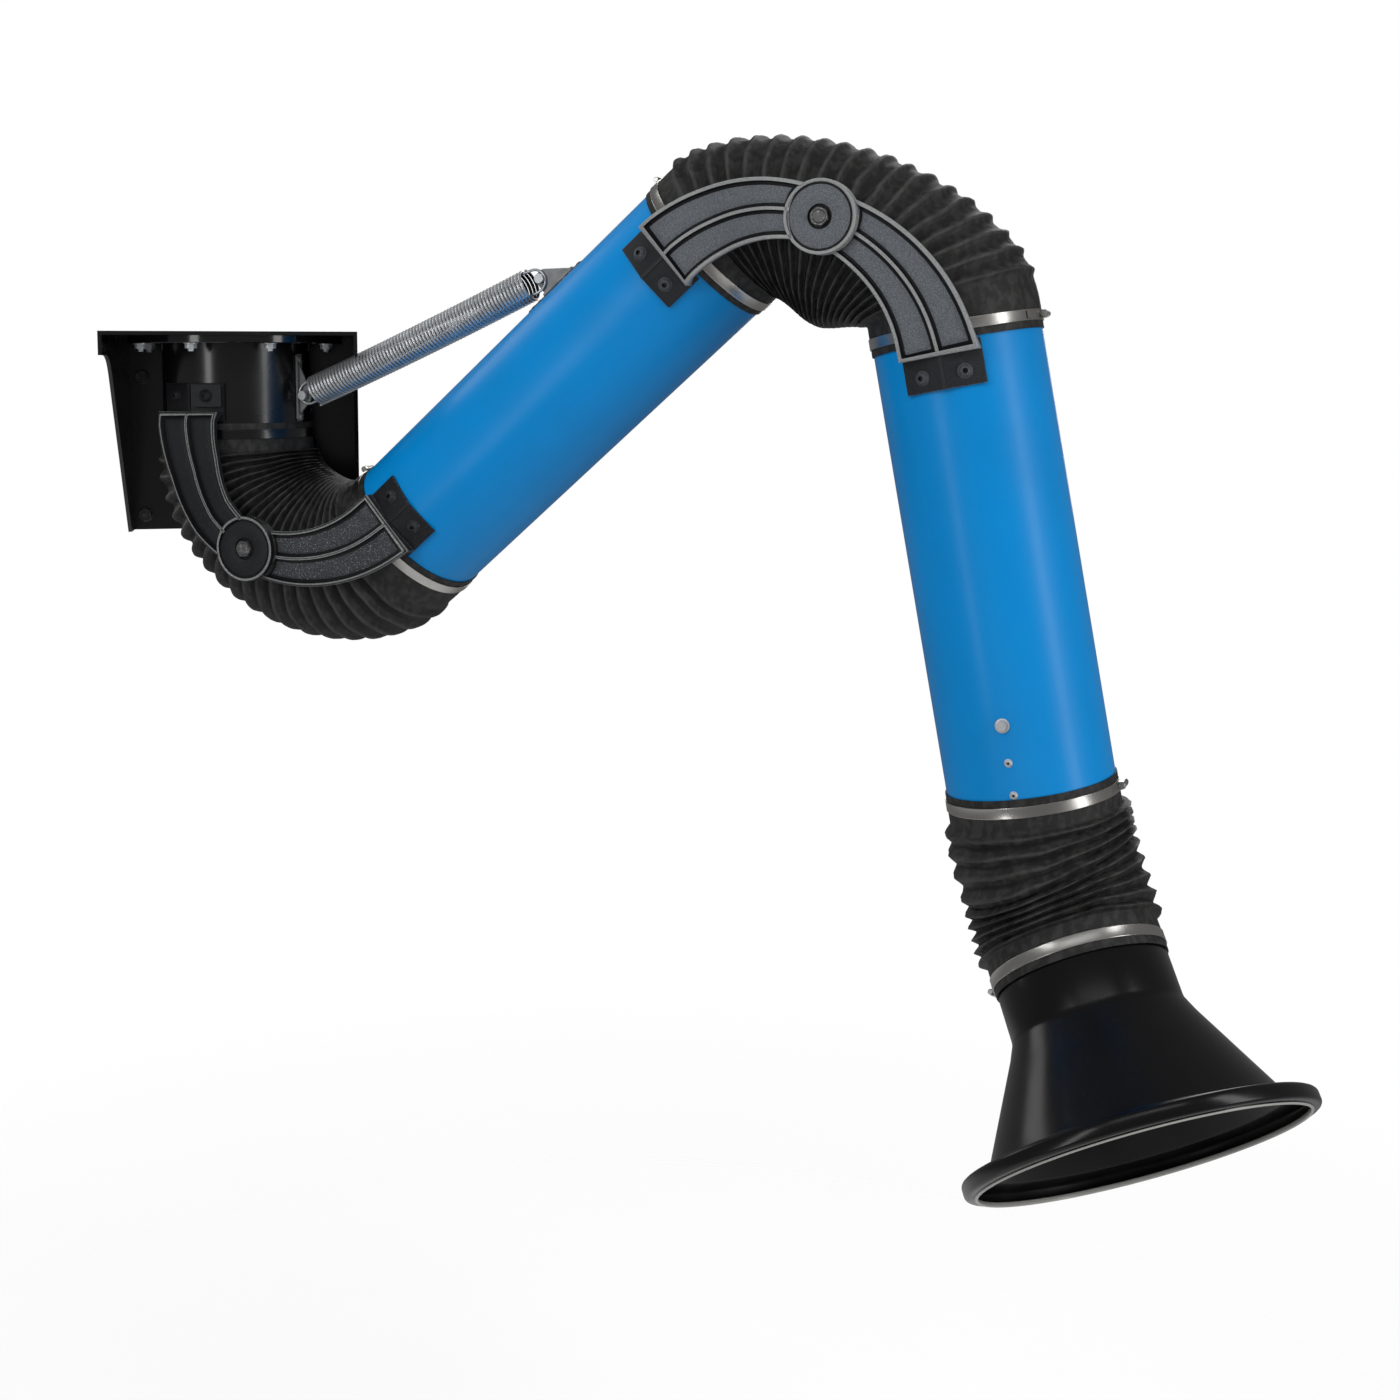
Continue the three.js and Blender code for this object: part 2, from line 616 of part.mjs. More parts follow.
// Hoses: smooth cuffs over the duct ends and wire ribs between them, turned evenly along a bend.
// The bore's rings crowd towards the two mouths, where the bend is sharpest.
function hose(start, startWay, end, endWay, sweep, ribs, wall) {
  const bend = new THREE.CubicBezierCurve3(
    start,
    start.clone().addScaledVector(startWay, sweep),
    end.clone().addScaledVector(endWay, -sweep),
    end,
  );
  bend.arcLengthDivisions = 400;
  const ring = (centre, way, radius) => {
    const side = Y.clone().addScaledVector(way, -Y.dot(way)).normalize();
    const rise = new THREE.Vector3().crossVectors(way, side);
    return Array.from({ length: HOSE_SIDES }, (_, k) => {
      const angle = (2 * Math.PI * k) / HOSE_SIDES;
      return centre.clone()
        .addScaledVector(side, radius * Math.cos(angle))
        .addScaledVector(rise, radius * Math.sin(angle));
    });
  };
  const turn = new THREE.Quaternion().setFromUnitVectors(startWay, endWay);
  const onBend = (share, radius) => {
    const way = startWay.clone().applyQuaternion(new THREE.Quaternion().slerp(turn, share));
    return ring(bend.getPointAt(share), way, radius);
  };
  const cuffStart = start.clone().addScaledVector(startWay, -CUFF_OVERLAP);
  const cuffEnd = end.clone().addScaledVector(endWay, CUFF_OVERLAP);
  const outside = [ring(cuffStart, startWay, cuffOuter), ring(start, startWay, cuffOuter)];
  for (let i = 0; i < ribs; i += 1) {
    outside.push(onBend((i + RIB_PEAK_AT) / ribs, HOSE_PEAK));
    outside.push(onBend((i + RIB_VALLEY_AT) / ribs, HOSE_VALLEY));
  }
  outside.push(ring(end, endWay, cuffOuter), ring(cuffEnd, endWay, cuffOuter));
  const inside = [ring(cuffEnd, endWay, cuffBore), ring(end, endWay, cuffBore)];
  const bores = Math.ceil(ribs / RIBS_PER_BORE_RING);
  for (let i = bores - 1; i > 0; i -= 1) {
    const even = i / bores;
    const drawn = THREE.MathUtils.smoothstep(even, 0, 1);
    const share = THREE.MathUtils.lerp(even, drawn, BORE_RING_CROWDING);
    inside.push(onBend(share, HOSE_VALLEY - wall));
  }
  inside.push(ring(start, startWay, cuffBore), ring(cuffStart, startWay, cuffBore));
  return skin([...outside, ...inside], null);
}

arm.updateMatrixWorld(true);
/** A point and a direction of one arm group, seen from another. */
function seenFrom(viewer, owner, point) {
  return viewer.worldToLocal(owner.localToWorld(point.clone()));
}
function wayFrom(viewer, owner, way) {
  return seenFrom(viewer, owner, way).sub(seenFrom(viewer, owner, origin)).normalize();
}

const collarMouth = new THREE.Vector3(0, 0, collarEnd);
const innerTubeStart = new THREE.Vector3(PIVOT_TO_DUCT, 0, -PIVOT_OFFSET);
const innerTubeEnd = new THREE.Vector3(PIVOT_TO_DUCT + INNER_TUBE_LENGTH, 0, -PIVOT_OFFSET);
const outerTubeStart = new THREE.Vector3(PIVOT_TO_DUCT, 0, PIVOT_OFFSET);
const outerTubeMouth = new THREE.Vector3(outerTubeEnd, 0, PIVOT_OFFSET);
const hoodMouth = new THREE.Vector3(GIMBAL_TO_HOOD, 0, 0);

addPiece(swivel, 'shoulder_hose', hose(
  collarMouth,
  opposite(Z),
  seenFrom(swivel, innerArm, innerTubeStart),
  wayFrom(swivel, innerArm, X),
  SHOULDER_HOSE_SWEEP,
  ELBOW_RIBS,
  ELBOW_HOSE_WALL,
), finishes.hose);
addPiece(innerArm, 'elbow_hose', hose(
  innerTubeEnd,
  X,
  seenFrom(innerArm, outerArm, outerTubeStart),
  wayFrom(innerArm, outerArm, X),
  ELBOW_HOSE_SWEEP,
  ELBOW_RIBS,
  ELBOW_HOSE_WALL,
), finishes.hose);
addPiece(outerArm, 'hood_hose', hose(
  outerTubeMouth,
  X,
  seenFrom(outerArm, hoodGroup, hoodMouth),
  wayFrom(outerArm, hoodGroup, X),
  HOOD_HOSE_SWEEP,
  HOOD_RIBS,
  HOOD_HOSE_WALL,
), finishes.hose);

// Band clamps with a worm screw housing, one over each cuff
function bandClamp() {
  const bore = clampBore / Math.cos(Math.PI / CLAMP_SIDES);
  const band = ringOf(bore, clampOuter, -CLAMP_WIDTH / 2, CLAMP_WIDTH / 2, CLAMP_SIDES);
  const seat = clampOuter - CLAMP_BAND / 2;
  const shell = block(
    seat,
    seat + CLAMP_SHELL_HEIGHT,
    -CLAMP_SHELL_LENGTH / 2,
    CLAMP_SHELL_LENGTH / 2,
    -CLAMP_SHELL_WIDTH / 2,
    CLAMP_SHELL_WIDTH / 2,
  );
  const half = CLAMP_SCREW_LENGTH / 2;
  const screw = alongFront(rod(CLAMP_SCREW_RADIUS, -half, half, PIN_SIDES));
  screw.translate(seat + CLAMP_SCREW_RISE, 0, 0);
  return join(band, shell, screw);
}
const clampShape = bandClamp();

/** Adds a clamp round a duct: its place on the axis, the duct's direction and the screw's direction. */
function addClamp(group, name, place, way, screwWay, finish) {
  const side = new THREE.Vector3().crossVectors(way, screwWay).normalize();
  const toward = new THREE.Vector3().crossVectors(side, way);
  const frame = framed(group, place, toward, side, way);
  addPiece(frame, name, clampShape.clone(), finish);
}
const back = opposite(X);
const fromEnd = (mouth, way) => mouth.clone().addScaledVector(way, CLAMP_FROM_END);
addClamp(swivel, 'collar_clamp', fromEnd(collarMouth, Z), Z, opposite(X), finishes.bracket);
addClamp(innerArm, 'inner_lower_clamp', fromEnd(innerTubeStart, X), X, Z, finishes.steel);
addClamp(innerArm, 'inner_upper_clamp', fromEnd(innerTubeEnd, back), back, Z, finishes.steel);
addClamp(outerArm, 'outer_upper_clamp', fromEnd(outerTubeStart, X), X, Z, finishes.steel);
addClamp(outerArm, 'outer_lower_clamp', fromEnd(outerTubeMouth, back), back, Z, finishes.steel);
addClamp(hoodGroup, 'hood_clamp', fromEnd(hoodMouth, X), X, opposite(Z), finishes.steel);

// Spring anchors: a strip on the duct with an upright eye plate, and a bolt through the eye
const eyeRadius = ANCHOR_BOLT_RADIUS + SHAFT_GAP;
const hookStep = Math.PI / HOOK_STEPS;
const hookRadius = (ANCHOR_BOLT_RADIUS + SEAT_GAP + SPRING_WIRE / 2) / Math.cos(hookStep / 2);
const eyeClear = Math.max(ANCHOR_BOLT_HEAD_RADIUS, hookRadius + SPRING_WIRE / 2) + SEAT_GAP;
const lowerSeat = seatRadius;
const lowerEyeX = lowerSeat + ANCHOR_STRIP + eyeClear;
const lowerEye = new THREE.Vector3(lowerEyeX, 0, shoulderZ + LOWER_ANCHOR_HEIGHT);
const upperEye = new THREE.Vector3(UPPER_ANCHOR_ALONG, 0, -PIVOT_OFFSET + ductRadius + UPPER_ANCHOR_OUT);

/** An upright plate across Y with an eye, from its outline in x and z. */
function eyePlate(outline, eye) {
  const plate = alongFront(slab(outline, -ANCHOR_PLATE / 2, ANCHOR_PLATE / 2));
  const hole = alongFront(rod(eyeRadius, -ANCHOR_PLATE, ANCHOR_PLATE, BOLT_SIDES));
  return cut(plate, hole.translate(eye.x, 0, eye.z));
}

const stripHalf = ANCHOR_STRIP_WIDTH / 2;
const lowerStrip = block(
  lowerSeat,
  lowerSeat + ANCHOR_STRIP,
  -stripHalf,
  stripHalf,
  shoulderZ + LOWER_STRIP_BOTTOM,
  shoulderZ + LOWER_STRIP_TOP,
);
const lowerEar = eyePlate([
  [lowerSeat + ANCHOR_STRIP / 2, lowerEye.z - LOWER_EAR_BELOW],
  [lowerEye.x + ANCHOR_EDGE, lowerEye.z - ANCHOR_EDGE],
  [lowerEye.x + ANCHOR_EDGE, lowerEye.z + ANCHOR_EDGE],
  [lowerSeat + ANCHOR_STRIP / 2, lowerEye.z + LOWER_EAR_ABOVE],
], lowerEye);
addPiece(swivel, 'spring_lower_anchor', join(lowerStrip, lowerEar), finishes.zinc);

const upperSeat = -PIVOT_OFFSET + seatRadius;
const upperStrip = block(
  UPPER_STRIP_START,
  UPPER_STRIP_END,
  -stripHalf,
  stripHalf,
  upperSeat,
  upperSeat + ANCHOR_STRIP,
);
addPiece(innerArm, 'spring_anchor_strip', upperStrip, finishes.casting);
const plateFoot = upperSeat + ANCHOR_STRIP + SEAT_GAP;
const upperFoot = block(
  upperEye.x - ANCHOR_EDGE,
  upperEye.x + UPPER_PLATE_LENGTH,
  -stripHalf,
  stripHalf,
  plateFoot,
  plateFoot + ANCHOR_PLATE,
);
const upperEar = eyePlate([
  [upperEye.x - ANCHOR_EDGE, plateFoot + ANCHOR_PLATE / 2],
  [upperEye.x + UPPER_PLATE_LENGTH, plateFoot + ANCHOR_PLATE / 2],
  [upperEye.x + ANCHOR_EDGE, upperEye.z + ANCHOR_EDGE],
  [upperEye.x - ANCHOR_EDGE, upperEye.z + ANCHOR_EDGE],
], upperEye);
addPiece(innerArm, 'spring_upper_anchor', join(upperFoot, upperEar), finishes.zinc);

// Each hook hangs on its bolt in front of the eye plate
const hookY = -(ANCHOR_PLATE / 2 + SEAT_GAP + SPRING_WIRE / 2 + SEAT_GAP);
const boltFront = -hookY + SPRING_WIRE / 2 + SEAT_GAP;
const boltRear = -ANCHOR_PLATE / 2 - SEAT_GAP;
const anchorBolt = alongFront(turned([
  [0, boltRear - ANCHOR_BOLT_HEAD],
  [ANCHOR_BOLT_HEAD_RADIUS, boltRear - ANCHOR_BOLT_HEAD],
  [ANCHOR_BOLT_HEAD_RADIUS, boltRear],
  [ANCHOR_BOLT_RADIUS, boltRear],
  [ANCHOR_BOLT_RADIUS, boltFront],
  [ANCHOR_BOLT_HEAD_RADIUS, boltFront],
  [ANCHOR_BOLT_HEAD_RADIUS, boltFront + ANCHOR_BOLT_HEAD],
  [0, boltFront + ANCHOR_BOLT_HEAD],
], PIN_SIDES));
const boltAt = (point) => anchorBolt.clone().translate(point.x, point.y, point.z);
addPiece(swivel, 'spring_lower_bolt', boltAt(lowerEye), finishes.zinc);
addPiece(innerArm, 'spring_upper_bolt', boltAt(upperEye), finishes.zinc);

// Extension spring: one unbroken wire, hook, close coil and hook. Local X runs bolt to bolt.
const upperEyeSeen = seenFrom(swivel, innerArm, upperEye);
const springWay = upperEyeSeen.clone().sub(lowerEye);
const springLength = springWay.length();
springWay.normalize();
const coilStart = SPRING_END_GAP;
const coilEnd = springLength - SPRING_END_GAP;
const coilRadius = (SPRING_OD - SPRING_WIRE) / 2;
/** The wire's centre line past one end of the coil: round the bolt, then out to the coil. */
function hookPoints() {
  const points = Array.from({ length: HOOK_STEPS + 1 }, (_, k) => {
    const angle = (k + 1) * hookStep;
    return new THREE.Vector3(hookRadius * Math.cos(angle), hookY, hookRadius * Math.sin(angle));
  });
  points.push(new THREE.Vector3(SPRING_END_GAP / 3, hookY, -coilRadius));
  return points;
}
const wirePoints = hookPoints();
const coilSteps = (SPRING_CURLS + 0.5) * CURL_STEPS;
for (let i = 0; i <= coilSteps; i += 1) {
  const angle = (2 * Math.PI * i) / CURL_STEPS;
  const x = THREE.MathUtils.lerp(coilStart, coilEnd, i / coilSteps);
  wirePoints.push(new THREE.Vector3(x, coilRadius * Math.sin(angle), -coilRadius * Math.cos(angle)));
}
for (const point of hookPoints().reverse()) {
  wirePoints.push(new THREE.Vector3(springLength - point.x, point.y, -point.z));
}

/** A round wire through points, its section carried along without twist. */
function wire(points, radius, sides) {
  const ways = points.map((point, i) => {
    const before = points[Math.max(i - 1, 0)];
    const after = points[Math.min(i + 1, points.length - 1)];
    return after.clone().sub(before).normalize();
  });
  const side = new THREE.Vector3().crossVectors(ways[0], Y).normalize();
  const rings = points.map((point, i) => {
    side.addScaledVector(ways[i], -side.dot(ways[i])).normalize();
    const rise = new THREE.Vector3().crossVectors(ways[i], side);
    return Array.from({ length: sides }, (_, k) => {
      const angle = (2 * Math.PI * k) / sides;
      return point.clone()
        .addScaledVector(side, radius * Math.cos(angle))
        .addScaledVector(rise, radius * Math.sin(angle));
    });
  });
  const section = Array.from({ length: sides }, (_, k) => {
    const angle = (2 * Math.PI * k) / sides;
    return [Math.cos(angle), Math.sin(angle)];
  });
  return skin(rings, section);
}

/** The least clear distance between stretches of wire that lie at least half a curl apart. */
function leastGap(points, diameter) {
  let least = Infinity;
  for (let i = 0; i < points.length; i += 1) {
    for (let k = i + CURL_STEPS / 2; k < points.length; k += 1) {
      least = Math.min(least, points[i].distanceTo(points[k]) - diameter);
    }
  }
  return least;
}
console.log(`spring wire least gap to itself: ${leastGap(wirePoints, SPRING_WIRE).toFixed(2)} mm`);
const springFrame = framed(swivel, lowerEye, springWay, Y, new THREE.Vector3().crossVectors(springWay, Y));
addPiece(springFrame, 'balance_spring', wire(wirePoints, SPRING_WIRE / 2, WIRE_SIDES), finishes.zinc);

// Hood: collar, cone, and a flange whose edge is rolled into an inner lip, turned about its own X
const coneStart = GIMBAL_TO_HOOD + HOOD_COLLAR;
const coneEnd = coneStart + HOOD_CONE;
const rimEnd = coneEnd + HOOD_RIM;
const hoodBore = ductRadius - HOOD_WALL;
const coneWall = HOOD_WALL / Math.cos(Math.atan2(HOOD_MOUTH_RADIUS - ductRadius, HOOD_CONE));
const rimRadius = HOOD_MOUTH_RADIUS + HOOD_RIM_OUT;
const lipRadius = rimRadius - HOOD_RIM_LIP;
addPiece(hoodGroup, 'hood', alongX(turned([
  [hoodBore, GIMBAL_TO_HOOD],
  [ductRadius, GIMBAL_TO_HOOD],
  [ductRadius, coneStart],
  [HOOD_MOUTH_RADIUS, coneEnd],
  [rimRadius, coneEnd + HOOD_RIM_ROUND],
  [rimRadius, rimEnd - HOOD_RIM_ROUND],
  [rimRadius - HOOD_RIM_ROUND, rimEnd],
  [lipRadius, rimEnd],
  [lipRadius, rimEnd - HOOD_WALL],
  [rimRadius - HOOD_RIM_ROUND - HOOD_WALL / 2, rimEnd - HOOD_WALL],
  [rimRadius - HOOD_WALL, rimEnd - HOOD_RIM_ROUND - HOOD_WALL / 2],
  [rimRadius - HOOD_WALL, coneEnd + HOOD_RIM_ROUND + HOOD_WALL],
  [HOOD_MOUTH_RADIUS - coneWall, coneEnd + HOOD_WALL / 2],
  [hoodBore, coneStart + HOOD_WALL / 2],
], DUCT_SIDES)), finishes.hood);

// Gimbal: two straps inside the outer tube carry a ring, the ring carries two straps of the hood
function strapFace(bore) {
  const clear = bore * Math.cos(Math.PI / DUCT_SIDES) - SEAT_GAP;
  return Math.sqrt(clear * clear - (YOKE_WIDTH * YOKE_WIDTH) / 4);
}
const outerStrapFace = strapFace(ductBore);
const hoodStrapFace = strapFace(hoodBore);
const outerEyeFace = outerStrapFace - YOKE_JOGGLE;
const hoodEyeFace = hoodStrapFace - YOKE_JOGGLE;
const pinHole = GIMBAL_PIN_RADIUS + SHAFT_GAP;
const ringOuter = Math.min(outerEyeFace, hoodEyeFace) - YOKE_THICKNESS - GIMBAL_SIDE_GAP;
const ringInner = ringOuter - GIMBAL_RING_WALL;

/**
 * A strap with a round eye at x = 0. It lies on the duct wall from x = -length up to the duct's
 * mouth at x = -mouth and is set in from there, clear of the bending hose. Its faces lie across Z.
 */
function strap(mouth, grip, face) {
  const half = YOKE_WIDTH / 2;
  const length = mouth + grip;
  const setIn = mouth - YOKE_JOGGLE_LENGTH;
  const outline = [[-length, -half], [-length, half]];
  for (let k = 0; k <= STRAP_END_STEPS; k += 1) {
    const angle = Math.PI / 2 - (Math.PI * k) / STRAP_END_STEPS;
    outline.push([YOKE_END * Math.cos(angle), half * Math.sin(angle)]);
  }
  const inward = face - YOKE_JOGGLE;
  const edge = [[-length, face], [-mouth, face], [-setIn, inward], [YOKE_END, inward]];
  const far = edge.map(([x, z]) => [x, z - YOKE_THICKNESS]).reverse();
  const bent = alongFront(slab([...edge, ...far], -half, half));
  const plan = slab(outline, face - 2 * YOKE_JOGGLE, face + YOKE_JOGGLE);
  return cut(overlap(bent, plan), rod(pinHole, face - 2 * YOKE_JOGGLE, face + YOKE_JOGGLE, BOLT_SIDES));
}

/** A pin through the ring and a strap, headed at both ends, along +Z. */
function gimbalPin(face) {
  const inner = ringInner * Math.cos(Math.PI / GIMBAL_SIDES) - SEAT_GAP;
  const outer = face + SEAT_GAP;
  return turned([
    [0, inner - GIMBAL_PIN_HEAD],
    [GIMBAL_PIN_HEAD_RADIUS, inner - GIMBAL_PIN_HEAD],
    [GIMBAL_PIN_HEAD_RADIUS, inner],
    [GIMBAL_PIN_RADIUS, inner],
    [GIMBAL_PIN_RADIUS, outer],
    [GIMBAL_PIN_HEAD_RADIUS, outer],
    [GIMBAL_PIN_HEAD_RADIUS, outer + GIMBAL_PIN_HEAD],
    [0, outer + GIMBAL_PIN_HEAD],
  ], PIN_SIDES);
}

const ringHalf = GIMBAL_RING_WIDTH / 2;
const gimbalRing = alongX(ringOf(ringInner, ringOuter, -ringHalf, ringHalf, GIMBAL_SIDES));
const pinAcross = rod(pinHole, -2 * ringOuter, 2 * ringOuter, BOLT_SIDES);
addPiece(gimbal, 'gimbal_ring', cut(gimbalRing, pinAcross, alongFront(pinAcross.clone())), finishes.zinc);

const gimbalPoint = new THREE.Vector3(gimbalAlong, 0, PIVOT_OFFSET);
const front = framed(outerArm, gimbalPoint, X, Z, opposite(Y));
const rear = framed(outerArm, gimbalPoint, X, opposite(Z), Y);
const outerStrap = strap(TUBE_TO_GIMBAL, OUTER_YOKE_GRIP, outerStrapFace);
for (const [frame, side] of [[front, 'front'], [rear, 'rear']]) {
  addPiece(frame, `tube_yoke_${side}`, outerStrap.clone(), finishes.zinc);
  addPiece(frame, `tube_yoke_pin_${side}`, gimbalPin(outerEyeFace), finishes.zinc);
}
const hoodStrap = strap(GIMBAL_TO_HOOD, HOOD_YOKE_GRIP, hoodStrapFace).rotateZ(Math.PI);
const sides = [['upper', X, Y, Z], ['lower', X, opposite(Y), opposite(Z)]];
for (const [side, x, y, z] of sides) {
  addPiece(framed(hoodGroup, origin, x, y, z), `hood_yoke_${side}`, hoodStrap.clone(), finishes.zinc);
  addPiece(framed(gimbal, origin, x, y, z), `hood_yoke_pin_${side}`, gimbalPin(hoodEyeFace), finishes.zinc);
}

export default arm;
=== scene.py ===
"""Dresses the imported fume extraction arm: paint, castings, hoses, clamps, spring and hood."""

import json
import math

import bmesh
import bpy
from bpy.props import FloatProperty, FloatVectorProperty, IntProperty, PointerProperty
from mathutils import Matrix, Quaternion, Vector, geometry, noise


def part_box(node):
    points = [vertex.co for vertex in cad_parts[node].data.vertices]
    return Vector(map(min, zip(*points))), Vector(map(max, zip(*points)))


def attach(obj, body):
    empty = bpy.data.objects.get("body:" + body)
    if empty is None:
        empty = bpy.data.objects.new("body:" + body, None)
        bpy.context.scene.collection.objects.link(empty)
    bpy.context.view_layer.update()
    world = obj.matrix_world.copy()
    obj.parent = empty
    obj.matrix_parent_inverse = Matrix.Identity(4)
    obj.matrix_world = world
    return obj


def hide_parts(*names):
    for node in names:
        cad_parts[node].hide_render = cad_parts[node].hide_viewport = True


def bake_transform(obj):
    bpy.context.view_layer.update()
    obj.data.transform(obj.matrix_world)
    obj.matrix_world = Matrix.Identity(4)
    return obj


bl_info = {
    "name": "Fume extraction arm",
    "version": (1, 0, 0),
    "blender": (4, 5, 0),
    "location": "View3D > Sidebar > Extraction Arm",
    "description": "Dresses the packed extraction arm with its finishes, hoses, spring and fasteners",
    "category": "Object",
}

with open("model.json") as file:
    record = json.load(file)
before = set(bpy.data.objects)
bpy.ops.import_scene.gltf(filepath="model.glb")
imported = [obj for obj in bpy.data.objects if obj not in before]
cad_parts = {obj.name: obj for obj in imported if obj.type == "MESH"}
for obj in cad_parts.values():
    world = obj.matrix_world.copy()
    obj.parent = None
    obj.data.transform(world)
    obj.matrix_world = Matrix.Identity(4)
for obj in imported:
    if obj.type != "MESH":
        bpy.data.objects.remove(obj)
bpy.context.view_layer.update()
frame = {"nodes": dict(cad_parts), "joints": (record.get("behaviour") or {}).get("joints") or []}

# Sizes in millimetres, in the frame of the arm piece that carries the form
MM = 0.001
DUCT_RADIUS = 101.5
PIVOT_OFFSET = 104.5
PIVOT_TO_DUCT = 130
INNER_TUBE_END = 745
OUTER_TUBE_END = 735
SHOULDER_DROP = 144.4
COLLAR_END = -14.4
ELBOW_ALONG = 875
GIMBAL_ALONG = 797
GIMBAL_TO_HOOD = 110
HOOD_SWING = 27.7
CLAMP_FROM_END = 20
CUFF_OVERLAP = 35
LOWER_EYE = Vector((113.5, 0, 58))
UPPER_EYE = Vector((518.6, 0, 24))


def tone(red, green, blue):
    """A screen colour of 0 to 255 as the linear colour that shaders use."""
    shares = [value / 255 for value in (red, green, blue)]
    return tuple(s / 12.92 if s <= 0.04045 else ((s + 0.055) / 1.055) ** 2.4 for s in shares)


def joint_place(name):
    """A joint's point and axis at rest."""
    joint = next(j for j in frame["joints"] if j["name"] == name)
    return Vector(joint["pos_m"]), Vector(joint["axis"]).normalized()


def frame_at(origin, along, up):
    """A place in millimetres whose X runs along and whose Z points up."""
    turn = Matrix((along, up.cross(along), up)).transposed().to_4x4()
    return Matrix.Translation(origin) @ turn @ Matrix.Scale(MM, 4)


def arm_places():
    """The place of each body's own frame at rest, found from the joints."""
    swivel, up = joint_place("swivel_turn")
    shoulder, front = joint_place("shoulder")
    elbow = joint_place("elbow")[0]
    gimbal, rise = joint_place("hood_swing")
    inner = elbow - shoulder
    inner_lean = math.asin(2 * PIVOT_OFFSET * MM / inner.length)
    inner_way = Quaternion(front, inner_lean) @ inner.normalized()
    outer = gimbal - elbow
    outer_lean = math.asin(PIVOT_OFFSET * MM / outer.length)
    outer_way = Quaternion(front, -outer_lean) @ outer.normalized()
    gimbal_way = rise.cross(front)
    hood_way = Quaternion(rise, -math.radians(HOOD_SWING)) @ gimbal_way
    return {
        "wall_bracket": Matrix.Scale(MM, 4),
        "swivel": frame_at(swivel, up.cross(front), up),
        "inner_arm": frame_at(shoulder, inner_way, front.cross(inner_way)),
        "outer_arm": frame_at(elbow, outer_way, front.cross(outer_way)),
        "gimbal": frame_at(gimbal, gimbal_way, rise),
        "hood": frame_at(gimbal, hood_way, rise),
    }


PLACES = arm_places()


def basis(origin, along, side, up):
    """A place at origin with the three directions as its axes."""
    turn = Matrix((Vector(along), Vector(side), Vector(up))).transposed().to_4x4()
    return Matrix.Translation(origin) @ turn


def facing(origin, out):
    """A place at origin whose Z points out."""
    turn = Vector(out).normalized().to_track_quat("Z", "Y").to_matrix().to_4x4()
    return Matrix.Translation(origin) @ turn


def smooth(value):
    """An even ramp from 0 to 1."""
    share = min(max(value, 0.0), 1.0)
    return share * share * (3 - 2 * share)


def mix(start, end, share):
    """A value part of the way from start to end."""
    return start + (end - start) * share


